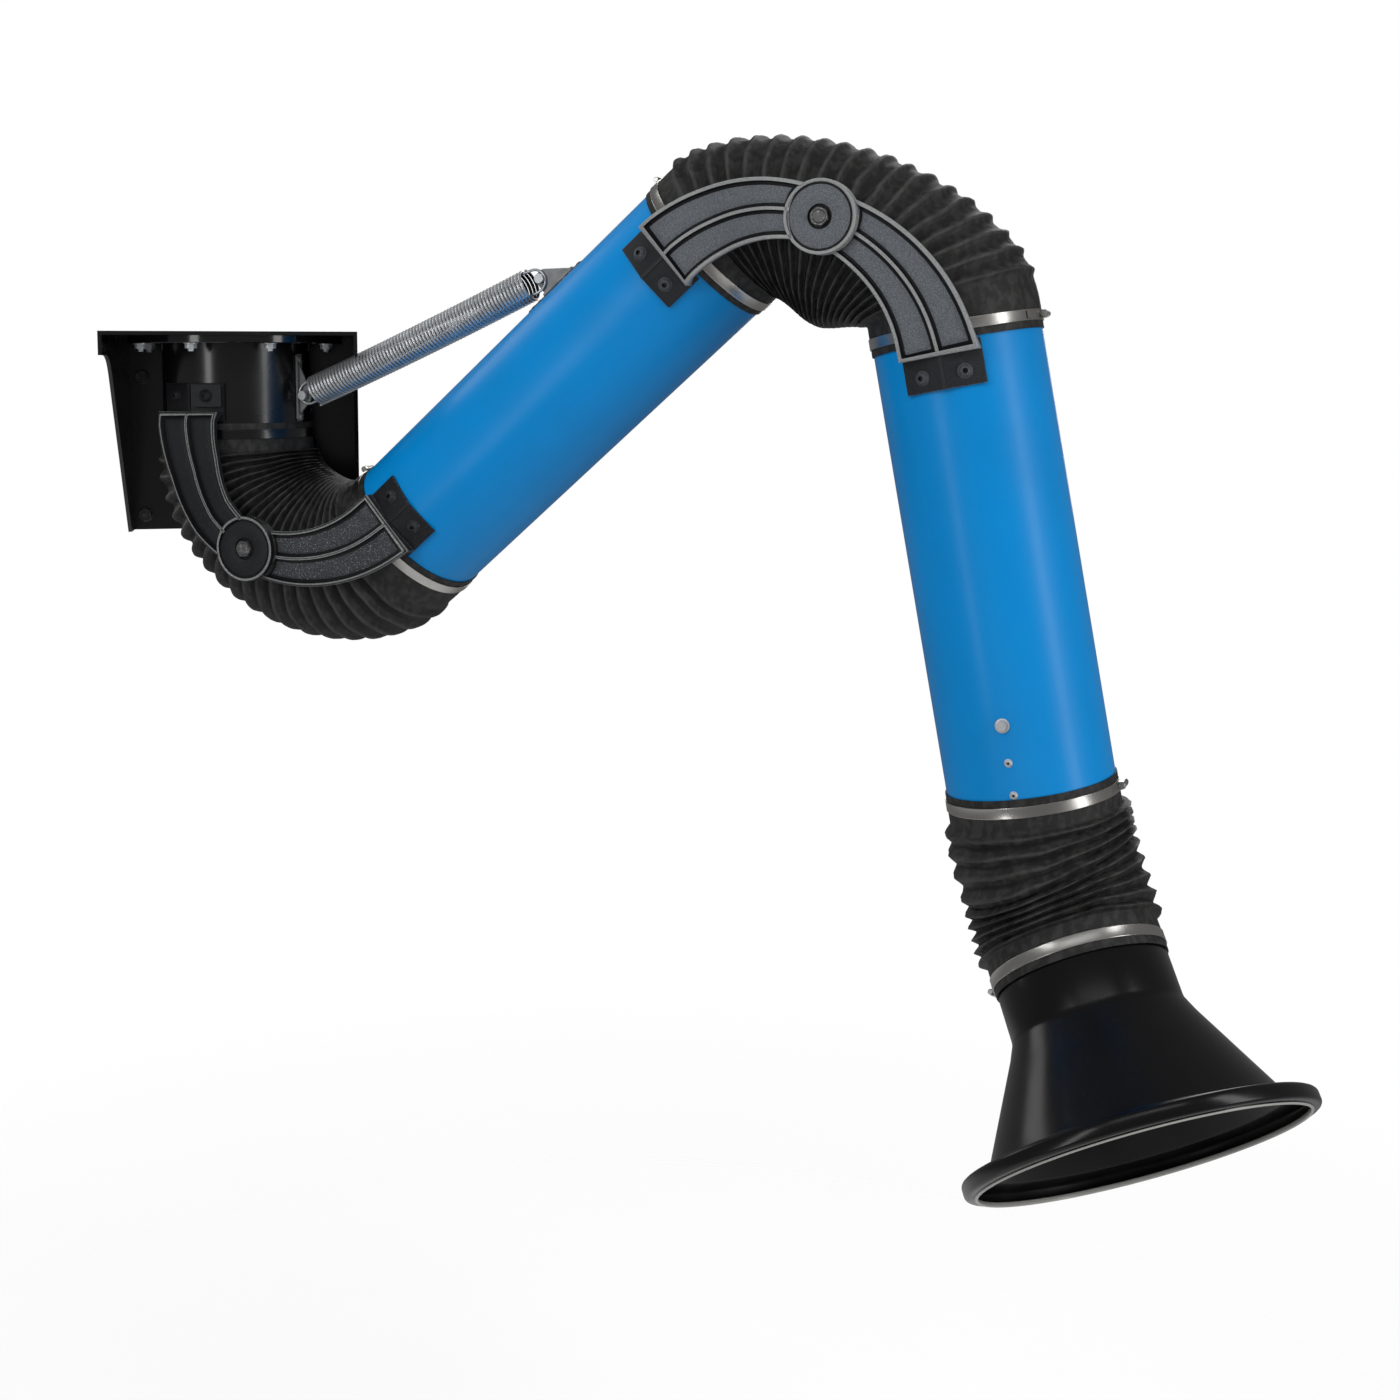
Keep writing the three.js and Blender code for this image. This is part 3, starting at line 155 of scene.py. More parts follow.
class Shape:
    """Points and faces of one piece, gathered from closed forms, with a paint mark for each point."""

    def __init__(self):
        self.points, self.faces, self.marks = [], [], []

    def add(self, points, faces, marks=None):
        """Adds one closed form."""
        first = len(self.points)
        self.points += points
        self.faces += [[first + i for i in face] for face in faces]
        self.marks += marks or [0.0] * len(points)

    def skin(self, rings, loop=False, marks=None):
        """Joins rings of like count; loop runs on from the last to the first, else both ends are closed."""
        count, rows = len(rings[0]), len(rings)
        faces = []
        for row in range(rows if loop else rows - 1):
            low, high = row * count, (row + 1) % rows * count
            for i in range(count):
                j = (i + 1) % count
                faces.append((low + i, low + j, high + j, high + i))
        if not loop:
            faces += [range(count - 1, -1, -1), range((rows - 1) * count, rows * count)]
        spread = [mark for mark in marks for _ in range(count)] if marks else None
        self.add([point for ring in rings for point in ring], faces, spread)

    def turned(self, place, profile, sides=64, bored=True, marks=None):
        """Turns a profile of radius and height about the place's Z; a bored one closes on itself."""
        steps = [2 * math.pi * k / sides for k in range(sides)]
        rings = [[place @ Vector((r * math.cos(a), r * math.sin(a), h)) for a in steps] for r, h in profile]
        self.skin(rings, bored, marks)

    def plate(self, place, loops, low, high):
        """A flat plate of an outline and its holes, from low to high along the place's Z."""
        count = sum(len(loop) for loop in loops)
        flat = [[Vector((x, y, 0)) for x, y in loop] for loop in loops]
        fill = [list(face) for face in geometry.tessellate_polygon(flat)]
        faces = fill + [[count + i for i in face] for face in fill]
        first = 0
        for loop in loops:
            for i in range(len(loop)):
                a, b = first + i, first + (i + 1) % len(loop)
                faces.append((a, b, count + b, count + a))
            first += len(loop)
        corners = [corner for loop in loops for corner in loop]
        points = [place @ Vector((x, y, h)) for h in (low, high) for x, y in corners]
        self.add(points, faces)

    def hexagon(self, place, radius, height, bore=0.0):
        """A six-sided head or nut with rounded-off corners, standing on the place."""
        flat = radius * math.cos(math.pi / 6)
        heights = ((0, 0.93), (0.1, 1), (0.78, 1), (1, 0.9))
        rings = []
        for share, limit in heights:
            ring = []
            for k in range(36):
                angle = 2 * math.pi * k / 36
                reach = min(flat / math.cos(angle % (math.pi / 3) - math.pi / 6), radius * limit)
                ring.append(place @ Vector((reach * math.cos(angle), reach * math.sin(angle), share * height)))
            rings.append(ring)
        if bore:
            for share in (1, 0):
                angles = [2 * math.pi * k / 36 for k in range(36)]
                h = share * height
                rings.append([place @ Vector((bore * math.cos(a), bore * math.sin(a), h)) for a in angles])
        self.skin(rings, bool(bore))

    def button(self, place, radius, height, mark=0.0):
        """A round head with a flange and a dimple, standing on the place."""
        profile = [
            (radius * 1.18, 0), (radius * 1.18, height * 0.2), (radius * 1.02, height * 0.28),
            (radius * 0.95, height * 0.55), (radius * 0.72, height * 0.86), (radius * 0.42, height),
            (radius * 0.36, height * 0.96), (radius * 0.34, height * 0.6),
        ]
        # The dimple's mark of -1 lets the casting and zinc finishes paint shade in it.
        self.turned(place, profile, 24, False, [mark] * 6 + [-1.0] * 2)

    def wire(self, path, radius, sides):
        """A round wire through points, its section carried along without twist."""
        last = len(path) - 1
        ways = [(path[min(i + 1, last)] - path[max(i - 1, 0)]).normalized() for i in range(last + 1)]
        side = ways[0].orthogonal().normalized()
        rings = []
        for point, way in zip(path, ways):
            side = (side - way * side.dot(way)).normalized()
            rise = way.cross(side)
            steps = [2 * math.pi * k / sides for k in range(sides)]
            rings.append([point + (side * math.cos(a) + rise * math.sin(a)) * radius for a in steps])
        self.skin(rings)


def piece(name, shape, finish, body, stands_for=(), bevel=0.0, crease=35, lining=None, lined_from=0):
    """Makes a shape an object with its finish, riding on a body where one is given.

    A lining is the finish of the faces from number lined_from on."""
    mesh = bpy.data.meshes.new(name)
    mesh.from_pydata(shape.points, [], [list(face) for face in shape.faces])
    work = bmesh.new()
    work.from_mesh(mesh)
    bmesh.ops.recalc_face_normals(work, faces=work.faces)
    work.to_mesh(mesh)
    work.free()
    marks = mesh.attributes.new("mark", "FLOAT", "POINT")
    marks.data.foreach_set("value", shape.marks)
    mesh.materials.append(finish)
    if lining:
        mesh.materials.append(lining)
        for face in mesh.polygons[lined_from:]:
            face.material_index = 1
    made = bpy.data.objects.new(name, mesh)
    bpy.context.scene.collection.objects.link(made)
    soften(made, bevel, crease)
    if body:
        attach(made, body)
    if stands_for:
        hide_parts(*stands_for)
    return made


def soften(made, bevel, crease):
    """Smooth shading with sharp creases, and edges rounded by the bevel in millimetres."""
    made.data.polygons.foreach_set("use_smooth", [True] * len(made.data.polygons))
    made.data.set_sharp_from_angle(angle=math.radians(crease))
    if bevel:
        round_off = made.modifiers.new("Rounded edges", "BEVEL")
        round_off.width = bevel * MM
        round_off.segments = 2
        round_off.limit_method = "ANGLE"
        round_off.angle_limit = math.radians(crease)
        even = made.modifiers.new("Even shading", "WEIGHTED_NORMAL")
        even.keep_sharp = True


def dress(names, finish, bevel=0.0, crease=35):
    """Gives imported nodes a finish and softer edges."""
    for name in names:
        node = frame["nodes"][name]
        node.data.materials.clear()
        node.data.materials.append(finish)
        joined = node.modifiers.new("Joined points", "WELD")
        joined.merge_threshold = 0.00001
        soften(node, bevel, crease)
        if not bevel:
            split = node.modifiers.new("Sharp creases", "EDGE_SPLIT")
            split.split_angle = math.radians(crease)


def sides_of(stem):
    """The front and the rear node of a pair."""
    return [f"{stem}_front", f"{stem}_rear"]


class Wire:
    """A shader socket in an expression: each operator adds a Math node."""

    def __init__(self, finish, socket):
        self.finish, self.socket = finish, socket

    def sum(self, operation, first, second):
        """One Math node on two values."""
        return self.finish.node("ShaderNodeMath", {"operation": operation}, {0: first, 1: second})

    def __add__(self, other):
        return self.sum("ADD", self, other)

    def __radd__(self, other):
        return self.sum("ADD", other, self)

    def __sub__(self, other):
        return self.sum("SUBTRACT", self, other)

    def __rsub__(self, other):
        return self.sum("SUBTRACT", other, self)

    def __mul__(self, other):
        return self.sum("MULTIPLY", self, other)

    def __rmul__(self, other):
        return self.sum("MULTIPLY", other, self)

    def __pow__(self, other):
        return self.sum("POWER", self, other)


FINISH_TAIL = "_finish"


class Finish:
    """One procedural finish: its nodes and the main shader's sockets."""

    def __init__(self, name):
        self.material = bpy.data.materials.new(name + FINISH_TAIL)
        self.material.use_nodes = True
        self.nodes = self.material.node_tree.nodes
        self.links = self.material.node_tree.links
        self.shader = self.nodes["Principled BSDF"]
        self.place = self.node("ShaderNodeTexCoord", {}, {}, "Object")

    def node(self, kind, settings, values, output=0):
        """Adds a node with its settings and the values or links of its sockets."""
        made = self.nodes.new(kind)
        for key, value in settings.items():
            setattr(made, key, value)
        self.join(made, values)
        return Wire(self, made.outputs[output])

    def join(self, made, values):
        """Sets or links sockets of a node."""
        for key, value in values.items():
            if isinstance(value, Wire):
                self.links.new(value.socket, made.inputs[key])
            else:
                made.inputs[key].default_value = value

    def surface(self, **values):
        """Sets the main shader's sockets, named in lower case with low lines for spaces."""
        names = {key: key.replace("_", " ").title().replace("Ior", "IOR") for key in values}
        self.join(self.shader, {names[key]: value for key, value in values.items()})
        return self.material

    def cloud(self, scale, detail=2.0, stretch=None):
        """Soft noise with about scale blotches in a metre, drawn out where stretch says so."""
        place = self.place
        if stretch:
            place = self.node("ShaderNodeVectorMath", {"operation": "MULTIPLY"}, {0: place, 1: stretch})
        return self.node("ShaderNodeTexNoise", {}, {"Vector": place, "Scale": scale, "Detail": detail})

    def cells(self, scale):
        """The distance to the nearest of about scale cell centres in a metre."""
        return self.node("ShaderNodeTexVoronoi", {}, {"Vector": self.place, "Scale": scale})

    def mark(self):
        """The paint mark that the mesh carries."""
        return self.node("ShaderNodeAttribute", {"attribute_name": "mark"}, {}, "Fac")

    def step(self, value, low, high):
        """A soft step from 0 at low to 1 at high."""
        settings = {"interpolation_type": "SMOOTHSTEP"}
        return self.node("ShaderNodeMapRange", settings, {0: value, 1: low, 2: high, 3: 0.0, 4: 1.0})

    def blend(self, share, first, second):
        """A colour between two others."""
        first, second = [c if isinstance(c, Wire) else (*c, 1.0) for c in (first, second)]
        return self.node("ShaderNodeMix", {"data_type": "RGBA"}, {0: share, 6: first, 7: second}, 2)

    def bump(self, height, distance, strength=1.0):
        """A surface normal raised by a height; the distance is in millimetres."""
        values = {"Height": height, "Distance": distance * MM, "Strength": strength}
        return self.node("ShaderNodeBump", {}, values)


def scaled(colour, share):
    """A colour made darker or lighter."""
    return tuple(min(value * share, 1.0) for value in colour)


def duct_paint(colours):
    """Glossy powder coat with a fine orange peel, faint rubbed patches and dust."""
    f = Finish("duct_blue")
    patches = f.step(f.cloud(7, 3), 0.3, 0.75)
    colour = f.blend(patches * 0.5, colours.duct, scaled(colours.duct, 0.82))
    dust = f.step(f.cloud(160, 4), 0.62, 0.8)
    colour = f.blend(dust * 0.012, colour, (0.5, 0.55, 0.6))
    rough = 0.3 + patches * 0.06 + dust * 0.05
    return f.surface(base_color=colour, roughness=rough, specular_ior_level=0.2, coat_weight=0.04, coat_roughness=0.2,
                     normal=f.bump(f.cloud(380, 1), 0.05, 0.5))


def black_paint(name, colours, dull):
    """Gloss black enamel with a slight peel and a film of dust."""
    f = Finish(name)
    film = f.step(f.cloud(11, 4), 0.35, 0.8)
    specks = f.step(f.cloud(700, 2), 0.68, 0.78)
    colour = f.blend(film * 0.4, colours.enamel, scaled(colours.enamel, 2.0))
    colour = f.blend(specks * 0.05, colour, (0.2, 0.2, 0.2))
    rough = dull + film * 0.1 + specks * 0.15
    return f.surface(base_color=colour, roughness=rough, coat_weight=0.3, coat_roughness=0.15,
                     normal=f.bump(f.cloud(330, 1), 0.05, 0.5))


def hood_paint(colours):
    """Deep gloss black with smudges that dull it here and there, and a painted highlight on the lip bead."""
    f = Finish("hood_black")
    smudge = f.step(f.cloud(9, 4), 0.4, 0.75)
    specks = f.step(f.cloud(800, 2), 0.7, 0.8)
    colour = f.blend(specks * 0.1, colours.hood, (0.15, 0.15, 0.16))
    # Painted highlight: the lip bead, told by the mark, turns light grey.
    colour = f.blend(f.step(f.mark(), 0.4, 0.9) * 0.9, colour, (0.33, 0.325, 0.31))
    rough = 0.2 + smudge * 0.1 + specks * 0.1
    return f.surface(base_color=colour, roughness=rough, specular_ior_level=0.4,
                     normal=f.bump(f.cloud(300, 1), 0.04, 0.4))


def hood_inside():
    """The hood's inside, dulled by a thin even film of dust."""
    f = Finish("hood_inside")
    film = f.step(f.cloud(14, 4), 0.3, 0.75)
    shade = f.blend(film, (0.0035, 0.0035, 0.004), (0.009, 0.009, 0.0095))
    return f.surface(base_color=shade, roughness=0.3 + film * 0.15, ior=1.25,
                     normal=f.bump(f.cloud(300, 1), 0.04, 0.4))


def casting_paint(name, panel, rim, edge, sparkle):
    """Textured casting paint, told by the mark: mottled panels with painted glints, rims in their own tone, a painted
    highlight along the rim edges, painted shade in the grooves and the nut well, and black saddles and bolts.
    """
    f = Finish(name)
    mark = f.mark()
    on_rim = f.step(mark, 0.35, 0.75)
    # Painted highlight: the rim edges take the light edge colour.
    edge_highlight_mask = f.step(mark, 1.1, 1.5)
    # Painted shade in the grooves and the hub's nut well; the same mask also makes the saddles and their bolts black.
    groove_shade_and_black_mask = f.step(0 - mark, 0.25, 0.7)
    grain = f.cloud(700, 3)
    mottle = f.step(grain, 0.38, 0.66)
    colour = f.blend(mottle, scaled(panel, 0.7), scaled(panel, 1.3))
    # Painted glints: light specks in the panels.
    glint = f.step(f.cloud(900, 2), 0.62, 0.72)
    colour = f.blend(glint * sparkle, colour, (0.45, 0.46, 0.48))
    colour = f.blend(on_rim, colour, f.blend(mottle, scaled(rim, 0.75), scaled(rim, 1.2)))
    colour = f.blend(edge_highlight_mask * (0.5 + mottle * 0.5), colour, edge)
    colour = f.blend(groove_shade_and_black_mask, colour, (0.004, 0.004, 0.005))
    rough = 0.5 + mottle * 0.1 - on_rim * 0.12 - groove_shade_and_black_mask * 0.08
    return f.surface(base_color=colour, roughness=rough, metallic=on_rim * 0.2, specular_ior_level=0.3,
                     normal=f.bump(grain, 0.4, 0.7))


def hose_fabric(colours):
    """Coated cloth: painted shade in the valleys, a painted highlight on the crests that is stronger in soft patches,
    with creases and a fine weave.
    """
    f = Finish("hose_fabric")
    mark = f.mark()
    # The crest mask paints a highlight on the ribs; the valley mask paints shade between them.
    crest = f.step(mark, 0.6, 1.0)
    valley = 1 - f.step(mark, 0.0, 0.28)
    # Soft patches where the painted crest highlight is stronger.
    crest_highlight_patches = f.step(f.cloud(70, 4), 0.3, 0.7)
    weave = f.cloud(1500, 1)
    creases = f.cloud(110, 4, (1.0, 1.0, 0.6))
    folds = f.step(creases, 0.42, 0.62)
    colour = f.blend(folds, scaled(colours.hose, 0.7), scaled(colours.hose, 1.3))
    # Painted shade in the valleys, then a painted highlight on the crests.
    colour = f.blend(valley * 0.85, colour, scaled(colours.hose, 0.15))
    colour = f.blend(crest * (0.3 + crest_highlight_patches * 0.6), colour, scaled(colours.hose, 2.2))
    rough = 0.5 + weave * 0.12 - crest * 0.1
    return f.surface(base_color=colour, roughness=rough, specular_ior_level=0.24,
                     normal=f.bump(weave * 0.2 + creases, 1.1, 0.6))


def band_steel(colours):
    """Rolled stainless strip, a little cloudy."""
    f = Finish("band_steel")
    smear = f.step(f.cloud(25, 3), 0.3, 0.75)
    return f.surface(base_color=f.blend(smear * 0.5, colours.steel, scaled(colours.steel, 0.75)), metallic=1.0,
                     roughness=0.26 + smear * 0.08, normal=f.bump(f.cloud(120, 1), 0.02, 0.3))


def zinc_plate(name, colour, dull, metal=0.62, spangled=0.3):
    """Bright zinc plating with cloudy patches, and painted shade where the mark tells of a hollow."""
    f = Finish(name)
    cloudy = f.step(f.cloud(60, 4), 0.35, 0.7)
    # Painted shade in hollows: dimples, and the wire's inner side between the spring's coils.
    hollow = f.step(0 - f.mark(), 0.1, 0.6)
    shade = f.blend(cloudy * 0.6, colour, scaled(colour, 0.7))
    shade = f.blend(hollow * 0.95, shade, (0.008, 0.008, 0.008))
    return f.surface(base_color=shade, metallic=metal, roughness=dull + cloudy * 0.12 + hollow * 0.2,
                     normal=f.bump(f.cells(420), 0.03, spangled))


def dark_steel(name, colour):
    """Blackened fastener steel, rubbed brighter in spots."""
    f = Finish(name)
    rubbed = f.step(f.cloud(260, 4), 0.5, 0.75)
    shade = f.blend(rubbed, colour, scaled(colour, 3.0))
    return f.surface(base_color=shade, metallic=0.7, roughness=0.42 - rubbed * 0.12,
                     normal=f.bump(f.cloud(900, 2), 0.08, 0.4))


def friction_lining():
    """Pressed friction material: brown-black with short fibres."""
    f = Finish("friction_lining")
    fibre = f.step(f.cloud(900, 4), 0.5, 0.65)
    shade = f.blend(fibre, (0.03, 0.022, 0.016), (0.16, 0.11, 0.06))
    return f.surface(base_color=shade, roughness=0.8 - fibre * 0.1, normal=f.bump(fibre, 0.1, 0.6))


def slip_plastic():
    """Waxy off-white bearing plastic with faint turning marks."""
    f = Finish("slip_plastic")
    turning = f.cloud(400, 2)
    shade = f.blend(turning, (0.55, 0.54, 0.5), (0.7, 0.69, 0.65))
    return f.surface(base_color=shade, roughness=0.38 + turning * 0.12, normal=f.bump(turning, 0.05, 0.4))


def finish_for(name):
    """The named finish, made on first use."""
    made = bpy.data.materials.get(name + FINISH_TAIL)
    if made:
        return made
    colours = bpy.context.scene.arm_colours
    makers = {
        "duct_blue": lambda: duct_paint(colours),
        "black_enamel": lambda: black_paint(name, colours, 0.2),
        "ring_enamel": lambda: black_paint(name, colours, 0.06),
        "hood_black": lambda: hood_paint(colours),
        "hood_inside": hood_inside,
        "casting_grey": lambda: casting_paint(name, colours.casting, colours.rim, colours.rim, 0.06),
        # Darker copies of the grey casting paint: painted shade on the castings at the shoulder.
        "casting_shaded_sparkle": lambda: casting_paint(
            name, scaled(colours.casting, 0.3), scaled(colours.rim, 0.06), colours.rim, 0.8),
        "casting_shaded": lambda: casting_paint(
            name, scaled(colours.casting, 0.1), scaled(colours.rim, 0.03), colours.rim, 0.06),
        "hose_fabric": lambda: hose_fabric(colours),
        "band_steel": lambda: band_steel(colours),
        "spring_zinc": lambda: zinc_plate(name, scaled(colours.zinc, 1.35), 0.26, 0.85, 0.05),
        "anchor_zinc": lambda: zinc_plate(name, colours.zinc, 0.3),
        "anchor_dull": lambda: zinc_plate(name, scaled(colours.zinc, 0.4), 0.36),
        "pivot_steel": lambda: dark_steel(name, (0.11, 0.11, 0.112)),
        "bolt_black": lambda: dark_steel(name, (0.06, 0.06, 0.062)),
        "friction_lining": friction_lining,
        "slip_plastic": slip_plastic,
    }
    return makers[name]()


class ArmColours(bpy.types.PropertyGroup):
    """Colours of the arm's finishes."""

    duct: FloatVectorProperty(
        name="Duct paint", description="Powder coat on both duct tubes",
        subtype="COLOR", min=0, max=1, default=tone(0, 118, 183))
    enamel: FloatVectorProperty(
        name="Enamel", description="Black on the bracket, ring and collar",
        subtype="COLOR", min=0, max=1, default=(0.003, 0.003, 0.0035))
    hood: FloatVectorProperty(
        name="Hood paint", description="Gloss black on the hood",
        subtype="COLOR", min=0, max=1, default=(0.002, 0.002, 0.0025))
    casting: FloatVectorProperty(
        name="Casting panels", description="Mottled panels of the elbow castings",
        subtype="COLOR", min=0, max=1, default=tone(83, 87, 92))
    # This colour also paints the highlight along the casting rim edges.
    rim: FloatVectorProperty(
        name="Casting rims", description="Worn rims of the elbow castings",
        subtype="COLOR", min=0, max=1, default=tone(132, 134, 134))
    hose: FloatVectorProperty(
        name="Hose cloth", description="Coated cloth of the hoses",
        subtype="COLOR", min=0, max=1, default=(0.019, 0.0187, 0.0184))
    steel: FloatVectorProperty(
        name="Clamp steel", description="Stainless strip of the clamps",
        subtype="COLOR", min=0, max=1, default=(0.6, 0.585, 0.56))
    zinc: FloatVectorProperty(
        name="Zinc", description="Plating of the anchors, gimbal and spring",
        subtype="COLOR", min=0, max=1, default=(0.56, 0.58, 0.6))


class ArmSizes(bpy.types.PropertyGroup):
    """Sizes of the dressed forms."""

    hose_crest: FloatProperty(
        name="Hose crest", description="Radius of the hose over its wire",
        default=112.5 * MM, min=0.105, max=0.118, unit="LENGTH")
    hood_crest: FloatProperty(
        name="Hood hose crest", description="Radius of the hood hose over its wire",
        default=114 * MM, min=0.105, max=0.118, unit="LENGTH")
    hose_valley: FloatProperty(
        name="Hose valley", description="Radius of the hose between its wires",
        default=104.2 * MM, min=0.1025, max=0.112, unit="LENGTH")
    elbow_ribs: IntProperty(
        name="Elbow ribs", description="Wire turns in the shoulder and elbow hoses", default=18, min=6, max=40)
    hood_ribs: IntProperty(
        name="Hood ribs", description="Wire turns in the hood hose", default=8, min=4, max=20)
    spring_coils: IntProperty(
        name="Spring coils", description="Turns of the balance spring", default=67, min=20, max=90)
    spring_wire: FloatProperty(
        name="Spring wire", description="Thickness of the spring's wire",
        default=4.5 * MM, min=0.002, max=0.006, unit="LENGTH")
    spring_outside: FloatProperty(
        name="Spring diameter", description="Outside diameter of the spring",
        default=44.5 * MM, min=0.02, max=0.05, unit="LENGTH")
    ring_bolts: IntProperty(
        name="Ring bolts", description="Hex bolts through the retaining ring", default=8, min=3, max=16)


def arm_sizes():
    """The sizes of this scene."""
    return bpy.context.scene.arm_sizes


class ARM_OT_bracket(bpy.types.Operator):
    """Dresses the wall bracket, slip ring, retaining ring and wall bolts"""

    bl_idname = "arm.bracket"
    bl_label = "Wall Bracket"

    def execute(self, context):
        black = finish_for("black_enamel")
        dress(["wall_bracket"], black, 1.0)
        dress(["slip_ring"], finish_for("slip_plastic"))
        self.retaining_ring(finish_for("ring_enamel"))
        self.wall_bolts()
        return {"FINISHED"}

    def retaining_ring(self, black):
        place = PLACES["wall_bracket"] @ Matrix.Translation((0, -152.6, 0))
        shape = Shape()
        shape.turned(place, [
            (105.5, 130.5), (106.3, 129.7), (145.3, 129.7), (146.3, 130.7), (146.3, 139.7), (124.4, 139.7),
            (124.4, 132.7), (105.5, 132.7),
        ], 128)
        piece("retaining_ring_turned", shape, black, "wall_bracket", ["retaining_ring"])
        bolts = Shape()
        count = arm_sizes().ring_bolts
        for k in range(count):
            angle = 2 * math.pi * (k + 0.5) / count
            spot = facing((134.5 * math.cos(angle), 134.5 * math.sin(angle), 129.7), (0, 0, -1))
            bolts.turned(place @ spot, [(9.4, 0), (9.4, 1.2), (8.9, 1.5)], 28, False)
            bolts.hexagon(place @ spot @ Matrix.Translation((0, 0, 1.5)), 8, 6)
            bolts.turned(place @ spot, [(4, 0), (4, 10.5), (3.4, 11.2)], 20, False)
        piece("retaining_ring_bolts", bolts, finish_for("anchor_zinc"), "wall_bracket")

    def wall_bolts(self):
        for side in ("left", "right"):
            for row in ("lower", "upper"):
                name = f"wall_bolt_{row}_{side}"
                low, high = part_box(name)
                middle = (low + high) / 2 / MM
                place = PLACES["wall_bracket"] @ facing((middle.x, 0, middle.z), (0, -1, 0))
                shape = Shape()
                shape.turned(place, [(5, 0), (5, 7), (4, 7.2)], 24, False)
                shape.turned(place, [(11, 5.3), (11, 6.8), (10.4, 7.3), (5.5, 7.3), (5.5, 5.3)], 40)
                shape.hexagon(place @ Matrix.Translation((0, 0, 7.3)), 9.5, 6)
                piece(name + "_hex", shape, finish_for("bolt_black"), "wall_bracket", [name])


class ARM_OT_collar(bpy.types.Operator):
    """Dresses the swivel collar"""

    bl_idname = "arm.collar"
    bl_label = "Swivel Collar"

    def execute(self, context):
        dress(["swivel_collar"], finish_for("black_enamel"))
        return {"FINISHED"}


# Elbow castings: a band sweeps from a saddle on the duct to a hub on the pivot
FOOT_REACH = 181
BAND_TURN = 2 * math.atan2(PIVOT_OFFSET, FOOT_REACH)
BAND_RADIUS = FOOT_REACH / math.sin(BAND_TURN)
BAND_LENGTH = BAND_RADIUS * BAND_TURN
BAND_THICKNESS = 4.5
RIM_HEIGHT = 3.5
RIM_WIDTH = 4.6
RIB_HALF = 1.8
GROOVE_WIDTH = 4.4
GROOVE_DEPTH = 0.9
HUB_RADIUS = 43.5
HUB_THICKNESS = 8
SADDLE_SLOPE = math.tan(math.radians(14.5))
SADDLE_CREST = 101.8 / math.cos(math.radians(14.5))
SADDLE_THICKNESS = 3.2
GROOVE_STEPS = (0.4, 1.4, GROOVE_WIDTH - 0.6, GROOVE_WIDTH + 0.7)
RIM_STEPS = (0, 0.8, RIM_WIDTH - 0.7, RIM_WIDTH, *[RIM_WIDTH + step for step in GROOVE_STEPS])
PANEL_ROWS = 28


def band_floor(share, hub_floor):
    """The depth of the band's back: over the clamp, over the hose, then level at the hub."""
    foot = SADDLE_CREST + SADDLE_THICKNESS / 2
    stops = ((0, foot), (0.07, 111.3), (0.36, 114.8), (0.7, hub_floor), (1.2, hub_floor))
    for (start, low), (end, high) in zip(stops, stops[1:]):
        if share <= end:
            return mix(low, high, (share - start) / (end - start))
    return hub_floor


def relief(inset):
    """Height over the panel and paint mark at a distance in from the rim's inner edge."""
    # Mark 1.6 on the rim's edges paints a highlight there; -1 in the groove paints shade.
    if inset <= 0:
        outer = inset <= -RIM_WIDTH + 0.05
        return RIM_HEIGHT - (0.8 if outer else 0), (1.6 if outer or inset > -0.75 else 1.0)
    if inset < GROOVE_WIDTH:
        return mix(RIM_HEIGHT, -GROOVE_DEPTH, min(inset / 1.4, 1.0)), -1.0
    return 0.0, 0.0


